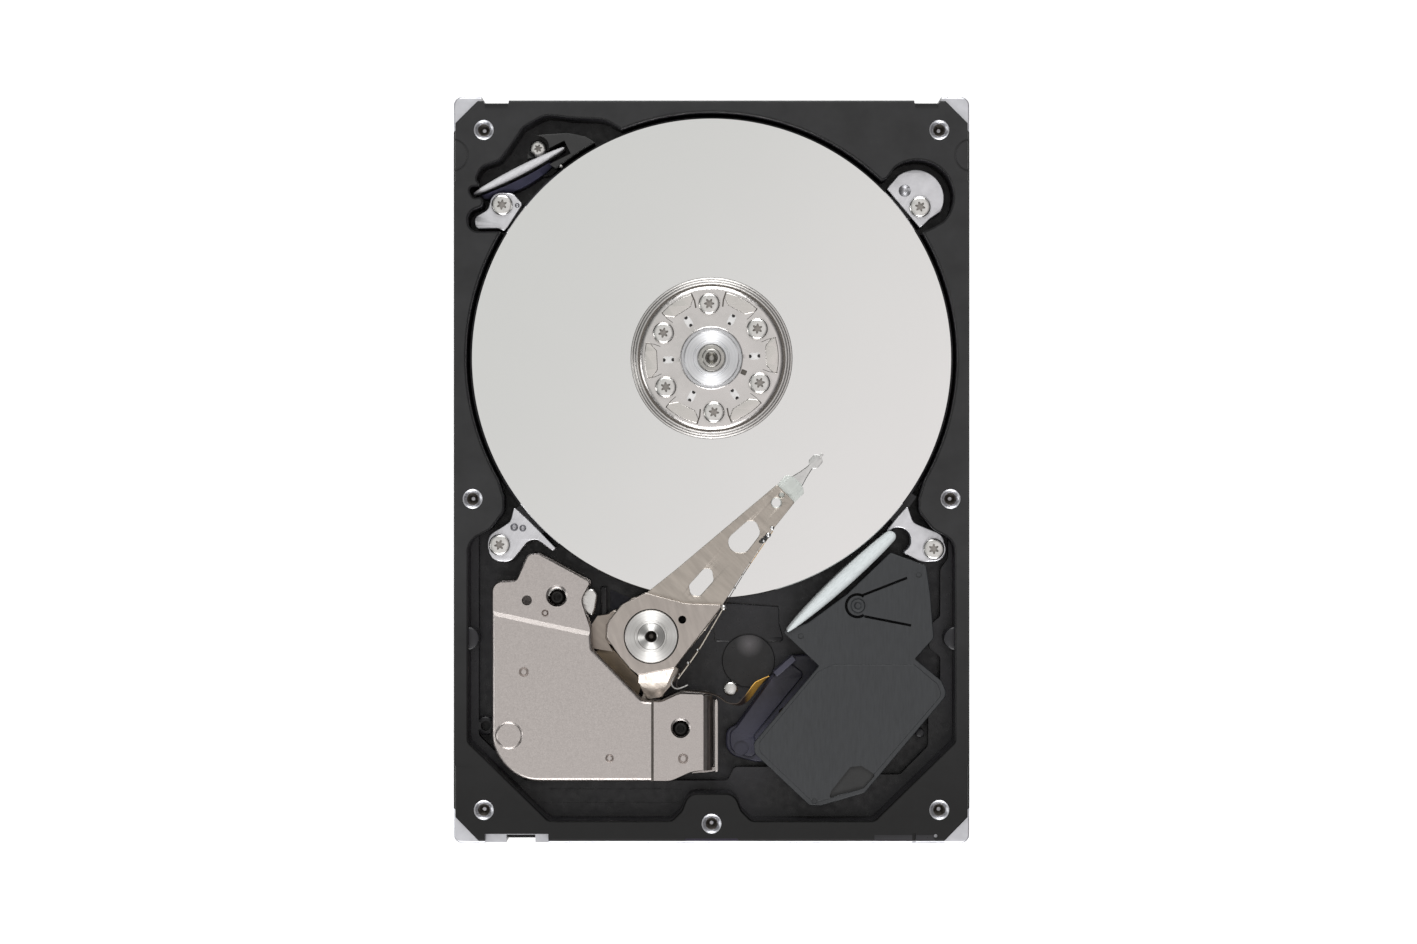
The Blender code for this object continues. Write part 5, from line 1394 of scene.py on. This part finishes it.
def filters():
    low, high = spot("recirculation_filter")
    piece("filter_pouch", pillow((-46.9, 54.5), (-29.1, 63.6), 0.68, low.z, high.z, (0.06, 0.06)),
          WHITE_FIBRE, "drive_body", "recirculation_filter")
    low, high = spot("desiccant_filter")
    piece("desiccant_pouch", pillow((15.0, -31.9), (36.1, -12.4), 0.95, low.z, high.z, (0.1, 0.85)), FIBRE,
          "drive_body", "desiccant_filter")
    strip_path = smooth_path([(-45.4, 54.2), (-41.0, 56.0), (-36.0, 58.4), (-31.6, 61.0)], 6)
    rings = []
    for i, (x, y) in enumerate(strip_path):
        grow = math.sin(math.pi * (i + 0.5) / len(strip_path)) ** 0.5
        rings.append([(x + out, y - 2 * out, z) for out, z in
                      ((0.0, 10.8), (0.0, 20.8), (0.7 * grow, 19.0), (0.75 * grow, 10.8))])
    piece("filter_shade", loft(rings), SHADE, "drive_body")
    outline = rounded([(-36.4, 57.6, 0.5), (-36.4, 63.9, 1.5), (-34.2, 66.2, 1.5), (-28.5, 66.6, 5),
                       (-24.9, 65.9, 1), (-23.2, 64.9, 0.4), *arc(*SPINDLE, WELL_RADIUS, 118.5, 131, 12)])
    mesh = plate(outline, 10.6, 22.6, edge=0.25, steps=2)
    seat = middle("filter_screw").xy
    mesh = cut(mesh, plate(strip([(-50.0, 52.96), (-28.4, 63.7)], 2.9), 8, 26),
               disc(*seat, 2.3, 17.0, 26, 56), disc(*seat, 1.1, 8, 18, 24),
               plate(rounded([(-40, 50), (-30.5, 59.4), (-32.4, 60.6), (-41, 56.6)]), 14, 26))
    piece("filter_clip", mesh, CLIP, "drive_body", "filter_holder")
    screw("filter_screw_head", "filter_screw", "drive_body", 1.65, 0.85, 12)
    stud = lathe([(0, 19), (0.34, 19), (0.34, 22.8), (0.2, 23.0), (0, 23.0)], -29.7, 60.0, 20)
    piece("filter_stud", stud, STEEL, "drive_body")


# ---------------------------------------------------------------- flex circuit and plastic

def flex_cable():
    """A ribbon that stands on its edge and leans over near the bracket."""
    path = smooth_path([(-6.1, -40.7), (-6.7, -41.6), (-6.9, -42.7), (-6.0, -43.6), (-4.0, -43.9),
                        (-1.2, -44.2), (1.3, -44.9), (3.4, -46.4), (5.5, -46.9), (7.4, -45.8),
                        (9.4, -43.2), (11.4, -40.9)],
                       8)
    rings = []
    for i, point in enumerate(path):
        t = i / (len(path) - 1)
        ahead = Vector(path[min(i + 1, len(path) - 1)]) - Vector(path[max(i - 1, 0)])
        side = Vector((-ahead.y, ahead.x)).normalized()
        lean = 1.3 * max(0.0, min(1.0, (t - 0.6) / 0.2)) * max(0.0, min(1.0, (1.0 - t) / 0.08))
        ring = []
        for z, u in ((12.4, 0.07), (18.2, 0.07), (18.2, -0.07), (12.4, -0.07)):
            shift = lean * max(0.0, (z - 12.4) / 5.8) ** 2
            p = Vector(point) + side * (u + shift)
            ring.append((p.x, p.y, z))
        rings.append(ring)
    ribbon = piece("flex_ribbon", loft(rings), FILM, None, "flex_cable")
    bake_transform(ribbon)


def bracket():
    foot = spot("flex_bracket")[0].z
    outline = rounded([(15.7, -36.9, 0.8), (11.6, -41.4, 1), (4.9, -50.7, 1), (2.9, -51.8, 2),
                       (2.8, -56.6, 3), (8.6, -58.2, 2), (24.0, -58.2, 1), (38.0, -47.0, 1),
                       (28.0, -36.4, 1)])
    mesh = plate(outline, foot, 11.6, edge=0.35, steps=2)
    rim = rounded([(15.0, -37.9, 0.6), (11.4, -42.2, 1), (4.9, -51.3, 1), (3.7, -52.2, 2), (3.6, -56.2, 3),
                   (8.2, -57.4, 2), (9.4, -55.6, 1), (8.4, -53.0, 1), (18.6, -40.6, 1)])
    mesh = join(mesh, plate(rim, 10.6, 12.2, edge=0.25, steps=2),
                plate(strip([(12.6, -40.5), (16.4, -37.2)], 1.2), 9.0, 18.6, edge=0.2))
    mesh = cut(mesh, box(13.4, -56.6, 26.6, -47.4, 5, 14, 1), disc(5.9, -55.4, 1.5, 11.7, 14, 40))
    piece("bracket_moulding", mesh, BRACKET, "drive_body", "flex_bracket")
    low, high = spot("head_connector")
    mesh = box(13.8, -56.2, 26.2, -47.8, low.z, high.z, 0.6, edge=0.2)
    slots = [box(14.8 + 1.1 * k, -55.2, 15.3 + 1.1 * k, -48.8, 11.9, 14) for k in range(10)]
    piece("head_connector_block", cut(mesh, *slots), CLIP, "drive_body", "head_connector")


def plastic_lid():
    top = spot("plastic_cover")[1].z
    outline = rounded([(14.0, -31.9, 0.4), (21.2, -38.7, 0.3), (8.3, -53.9, 1.3), (8.6, -56.1, 1.0),
                       (19.3, -66.2, 0.8), (21.6, -66.3, 0.8), (30.2, -63.8, 1.0), (46.6, -44.3, 1.8),
                       (45.4, -41.6, 1.0), (40.2, -37.3, 0.3), (43.9, -33.2, 1.0), (43.2, -24.4, 0.5),
                       (42.4, -18.9, 0.5), (35.4, -16.3, 0.5), (26.6, -24.7, 2), (19.0, -30.2, 1)])
    mesh = plate(outline, top - 1.2, top - 0.12, edge=0.22, steps=2)
    raised = rounded([(20.9, -39.9, 0.4), (9.3, -53.9, 0.8), (9.6, -55.7, 0.8), (19.6, -65.2, 0.8),
                      (21.6, -65.4, 0.8), (29.6, -63.0, 1.0), (45.5, -44.4, 1.5), (44.6, -42.2, 1.0),
                      (40.0, -38.4, 0.4), (24.0, -38.4, 1)])
    mesh = join(mesh, plate(raised, top - 0.6, top, edge=0.12, steps=2),
                plate(rounded([(21.4, -39.6), (9.2, -54.2, 0.6), (19.6, -64.6, 0.6), (29.4, -62.0, 0.6),
                               (44.6, -44.2, 1), (38.2, -37.9)]), 19.6, 20.9))
    mesh = join(mesh, *[disc(x, y, 1.0, foot + 0.2, 20.8, 24) for x, y, foot in
                        ((41.6, -41.8, BAY_FLOOR), (12.2, -55.0, 12.2), (24.0, -62.2, LEDGE))])
    hook = arc(28.8, -26.8, 1.95, 55, 305, 30) + arc(28.8, -26.8, 2.5, 305, 55, 30)
    slots = [plate(strip([(38.6, -21.3), (29.9, -24.7)], 0.5), 19, 24),
             plate(strip([(39.4, -30.7), (30.2, -28.9)], 0.5), 19, 24), plate(hook, 19, 24)]
    recess = rounded([(23.2, -64.9, 0.3), (23.6, -63.4, 0.4), (27.4, -58.6, 0.8), (29.6, -58.4, 0.6),
                      (32.4, -60.2, 0.5), (30.0, -62.9, 0.4), (25.0, -64.2, 0.6)])
    dimples = [lathe([(0, top - 0.42), (0.55, top - 0.38), (0.7, top + 1), (0, top + 1)], x, y, 32)
               for x, y in ((40.9, -20.7), (17.6, -32.8), (20.3, -65.4))]
    mesh = cut(mesh, *slots, plate(recess, top - 0.75, 24), *dimples)
    boss = lathe([(0, 20.0), (1.45, 20.0), (1.45, top + 0.02), (1.25, top + 0.3), (0.8, top + 0.36),
                  (0.5, top + 0.1), (0, top + 0.05)], 28.9, -26.8, 40)
    tongue = rounded([(29.0, -25.5), (38.4, -22.0), (39.2, -30.0), (29.0, -28.1), (28.0, -26.8, 1)])
    mesh = join(mesh, boss, plate(tongue, top - 1.1, top - 0.12, edge=0.12))

    def sort(centre, normal):
        x, y, z = centre
        return CLIP if 23 < x < 32.6 and -65 < y < -58.2 and top - 1.0 < z < top - 0.3 else LID
    piece("lid", mesh, [LID, CLIP], "drive_body", "plastic_cover", sort=sort)


# ---------------------------------------------------------------- circuit board side

def board():
    low, high = spot("circuit_board")
    outline = rounded([(-44.9, -72.9, 0.5), (-42.8, -72.9, 0.5), (-42.8, -68.1, 0.5), (12.2, -68.1, 0.5),
                       (12.2, -72.9, 0.5), (44.9, -72.9, 1.5), (44.9, 9.4, 1.5),
                       *arc(*SPINDLE, 19.2, -41.4, -138.6, 40), (-44.9, 9.4, 1.5)])
    holes = [circle(x, y, 1.6, 32) for x, y in BOARD_SCREWS]
    piece("board", plate(outline, low.z, high.z, holes, edge=0.08), MASK, "drive_body", "circuit_board")
    low, high = spot("insulator_sheet")
    inset = rounded([(-43.8, -61.0, 1), (43.8, -61.0, 1), (43.8, 8.2, 1),
                     *arc(*SPINDLE, 20.6, -42.4, -137.6, 30),
                     (-43.8, 8.2, 1)])
    holes = [circle(x, y, 3.0, 24) for x, y in BOARD_SCREWS[2:]] + [box_outline(13.0, -57.0, 27.0, -47.0, 1)]
    piece("insulator", plate(inset, low.z, high.z, holes), FOAM, "drive_body", "insulator_sheet")
    for i in range(1, 5):
        screw(f"board_screw_head_{i}", f"board_screw_{i}", "drive_body", 2.3, 1.0, 11 * i, flip=True)
    chips()
    small_parts()


def chips():
    """Moulded packages with their rows of leads."""
    for name, sides in (("controller_chip", 4), ("memory_chip", 2)):
        low, high = spot(name)
        mesh = box(low.x, low.y, high.x, high.y, low.z, high.z, 0.25, edge=0.18)
        mark = disc(low.x + 1.6, low.y + 1.6, 0.5, low.z - 1, low.z + 0.12, 32)
        piece(f"{name}_package", cut(mesh, mark), CHIP, "drive_body", name)
        leads = []
        z0, z1 = high.z - 0.35, high.z
        count = int((high.y - low.y - 1.6) / 0.8)
        for k in range(count):
            y = low.y + 1.0 + 0.8 * k
            leads += [box(low.x - 0.9, y, low.x + 0.1, y + 0.36, z0, z1),
                      box(high.x - 0.1, y, high.x + 0.9, y + 0.36, z0, z1)]
        if sides == 4:
            for k in range(int((high.x - low.x - 1.6) / 0.8)):
                x = low.x + 1.0 + 0.8 * k
                leads += [box(x, low.y - 0.9, x + 0.36, low.y + 0.1, z0, z1),
                          box(x, high.y - 0.1, x + 0.36, high.y + 0.9, z0, z1)]
        piece(f"{name}_leads", merged(*leads), SOLDER, "drive_body")


def small_parts():
    """Capacitors, resistors and test pads on the board's outer face."""
    random.seed(11)
    face = spot("circuit_board")[0].z
    taken = [(-19.6, -38, -4.2, -22), (8.3, -41, 20, -19)]
    bodies, ends, pads = [], [], []
    tries = 0
    while len(bodies) < 46 and tries < 900:
        tries += 1
        x, y = random.uniform(-38, 38), random.uniform(-58, -3)
        w, h = random.choice(((1.6, 0.8), (0.8, 1.6), (2.0, 1.25), (1.0, 0.5), (3.2, 1.6)))
        if any(x0 - 1.5 < x < x1 + 1.5 and y0 - 1.5 < y < y1 + 1.5 for x0, y0, x1, y1 in taken):
            continue
        taken.append((x - w / 2, y - h / 2, x + w / 2, y + h / 2))
        tall = 0.35 + 0.25 * min(w, h)
        bodies.append(box(x - w / 2, y - h / 2, x + w / 2, y + h / 2, face - tall, face - 0.02))
        if w > h:
            strips = [(x - w / 2 - 0.05, y - h / 2 - 0.03, x - w / 2 + 0.25 * w, y + h / 2 + 0.03),
                      (x + w / 2 - 0.25 * w, y - h / 2 - 0.03, x + w / 2 + 0.05, y + h / 2 + 0.03)]
        else:
            strips = [(x - w / 2 - 0.03, y - h / 2 - 0.05, x + w / 2 + 0.03, y - h / 2 + 0.25 * h),
                      (x - w / 2 - 0.03, y + h / 2 - 0.25 * h, x + w / 2 + 0.03, y + h / 2 + 0.05)]
        ends += [plate(box_outline(*s), face - tall - 0.04, face - 0.01) for s in strips]
    for _ in range(60):
        x, y = random.uniform(-42, 42), random.uniform(-60, 4)
        if any(x0 - 1 < x < x1 + 1 and y0 - 1 < y < y1 + 1 for x0, y0, x1, y1 in taken):
            continue
        if min((Vector((x, y)) - Vector(s)).length for s in BOARD_SCREWS) < 3.5 or y > 0 and abs(x) < 22:
            continue
        pads.append(disc(x, y, random.choice((0.4, 0.5, 0.7)), face - 0.05, face - 0.005, 20))
    piece("board_parts", merged(*bodies), CERAMIC, "drive_body")
    piece("board_part_ends", merged(*ends), SOLDER, "drive_body")
    piece("board_pads", merged(*pads), GOLD, "drive_body")


def plugs():
    mesh = box(-42.3, -73.3, -0.3, -66.0, 0.9, 6.9, 0.3, edge=0.12)
    mesh = cut(mesh, box(-60, -68.4, 20, -60, 2.9, 9.0), box(-40.9, -80, -1.7, -68.9, 1.9, 6.0))
    tongues = []
    for x0, x1 in ((-38.6, -17.6), (-14.6, -5.0)):
        tongues += [box(x0, -73.1, x1, -68.4, 3.4, 4.7, edge=0.1),
                    box(x1 - 1.2, -73.1, x1, -68.5, 3.0, 5.6, edge=0.08)]
    piece("serial_plug_housing", join(mesh, *tongues), CLIP, "drive_body", "serial_plug")
    contacts = []
    for first, count in ((-37.6, 15), (-13.9, 7)):
        for k in range(count):
            x = first + 1.27 * k
            contacts.append(box(x - 0.35, -72.9, x + 0.35, -68.9, 4.66, 4.8, edge=0.02))
    piece("serial_plug_contacts", merged(*contacts), GOLD, "drive_body")
    mesh = box(2.4, -70.4, 11.6, -66.0, 1.1, 5.9, 0.2, edge=0.12)
    mesh = cut(mesh, box(-10, -68.4, 20, -60, 2.9, 9.0))
    piece("jumper_housing", mesh, CLIP, "drive_body", "jumper_block")
    pins = []
    for column in range(4):
        for row in range(2):
            x, z = 3.9 + 2.0 * column, 2.2 + 2.0 * row
            pins.append(box(x - 0.3, -73.2, x + 0.3, -69.4, z, z + 0.6, 0.1, edge=0.08))
    piece("jumper_pins", merged(*pins), GOLD, "drive_body")


# ---------------------------------------------------------------- studio

def world():
    """A soft light overhead with a faint drift of tint, above darker walls."""
    scene_world = bpy.data.worlds.new("studio")
    bpy.context.scene.world = scene_world
    scene_world.use_nodes = True
    nodes, links = scene_world.node_tree.nodes, scene_world.node_tree.links
    background = nodes["Background"]
    place = nodes.new("ShaderNodeTexCoord")
    split = nodes.new("ShaderNodeVectorMath")
    split.operation = "DOT_PRODUCT"
    split.inputs[1].default_value = (0.8, -0.6, 0)
    links.new(place.outputs["Generated"], split.inputs[0])
    drift = nodes.new("ShaderNodeMapRange")
    drift.interpolation_type = "SMOOTHSTEP"
    drift.inputs["From Min"].default_value = -0.06
    drift.inputs["From Max"].default_value = 0.05
    links.new(split.outputs["Value"], drift.inputs["Value"])
    tint = nodes.new("ShaderNodeMix")
    tint.data_type = "RGBA"
    tint.inputs["A"].default_value = (0.69, 0.69, 0.675, 1)
    tint.inputs["B"].default_value = (0.84, 0.815, 0.81, 1)
    links.new(drift.outputs["Result"], tint.inputs["Factor"])
    axes = nodes.new("ShaderNodeSeparateXYZ")
    links.new(place.outputs["Generated"], axes.inputs["Vector"])
    fall = nodes.new("ShaderNodeValToRGB")
    fall.color_ramp.elements[0].position = 0.0
    fall.color_ramp.elements[0].color = (0.2, 0.2, 0.2, 1)
    fall.color_ramp.elements[1].position = 1.0
    fall.color_ramp.elements[1].color = (1, 1, 1, 1)
    for position, level in ((0.3, 0.07), (0.62, 0.1), (0.8, 0.24), (0.9, 0.6), (0.965, 0.97)):
        element = fall.color_ramp.elements.new(position)
        element.color = (level, level, level, 1)
    links.new(axes.outputs["Z"], fall.inputs["Fac"])
    dome = nodes.new("ShaderNodeMix")
    dome.data_type = "RGBA"
    dome.blend_type = "MULTIPLY"
    dome.inputs["Factor"].default_value = 1.0
    links.new(tint.outputs["Result"], dome.inputs["A"])
    links.new(fall.outputs["Color"], dome.inputs["B"])
    links.new(dome.outputs["Result"], background.inputs["Color"])
    background.inputs["Strength"].default_value = 1.0


def softbox(name, place, size, power):
    light = bpy.data.lights.new(name, "AREA")
    light.shape = "RECTANGLE"
    light.size, light.size_y = size
    light.energy = power
    obj = bpy.data.objects.new(name, light)
    bpy.context.scene.collection.objects.link(obj)
    obj.location = place
    obj.rotation_mode = "QUATERNION"
    obj.rotation_quaternion = Vector(place).to_track_quat("Z", "Y")


def studio():
    reach = 3.0
    bm = bmesh.new()
    bmesh.ops.create_grid(bm, x_segments=1, y_segments=1, size=reach)
    mesh = bpy.data.meshes.new("floor")
    bm.to_mesh(mesh)
    bm.free()
    mesh.materials.append(pale_floor())
    ground = bpy.data.objects.new("floor", mesh)
    bpy.context.scene.collection.objects.link(ground)
    ground.location.z = -0.0002
    world()
    softbox("back_box", (0.0, 0.95, 1.0), (0.7, 0.7), 9)
    softbox("front_box", (0.0, -0.95, 1.0), (0.7, 0.7), 9)
    softbox("left_box", (-1.1, -0.2, 0.7), (0.4, 0.9), 3)
    bpy.context.scene.view_settings.view_transform = "Standard"


VIEW_WIDTH = 278.7175      # what the camera takes in across, at the deck


def camera():
    """A long lens, a metre above the deck, that looks straight down."""
    distance = 1.0
    data = bpy.data.cameras.new("camera")
    data.sensor_width = 36
    data.lens = data.sensor_width * distance / (VIEW_WIDTH * MM)
    obj = bpy.data.objects.new("camera", data)
    bpy.context.scene.collection.objects.link(obj)
    obj.location = (-0.6 * MM, -0.4 * MM, distance + DECK_TOP * MM)
    data.clip_end = 20
    bpy.context.scene.camera = obj


# ---------------------------------------------------------------- the drive

def hidden_parts():
    """Better finishes for the enclosed nodes that keep their shape."""
    finishes = {"stator_core": STEEL, "stator_winding": COPPER, "bearing_sleeve": STEEL,
                "rotor_magnet": STEEL}
    for name, material in finishes.items():
        data = frame["nodes"][name].data
        for slot in range(max(1, len(data.materials))):
            if slot < len(data.materials):
                data.materials[slot] = material
            else:
                data.materials.append(material)


camera()
studio()
casting()
floor_seal()
platters()
clamp()
hub()
separators()
arm_block()
pivot()
coil()
suspensions()
arm_wiring()
magnet_plates()
magnet_posts()
filters()
flex_cable()
bracket()
plastic_lid()
board()
plugs()
hidden_parts()
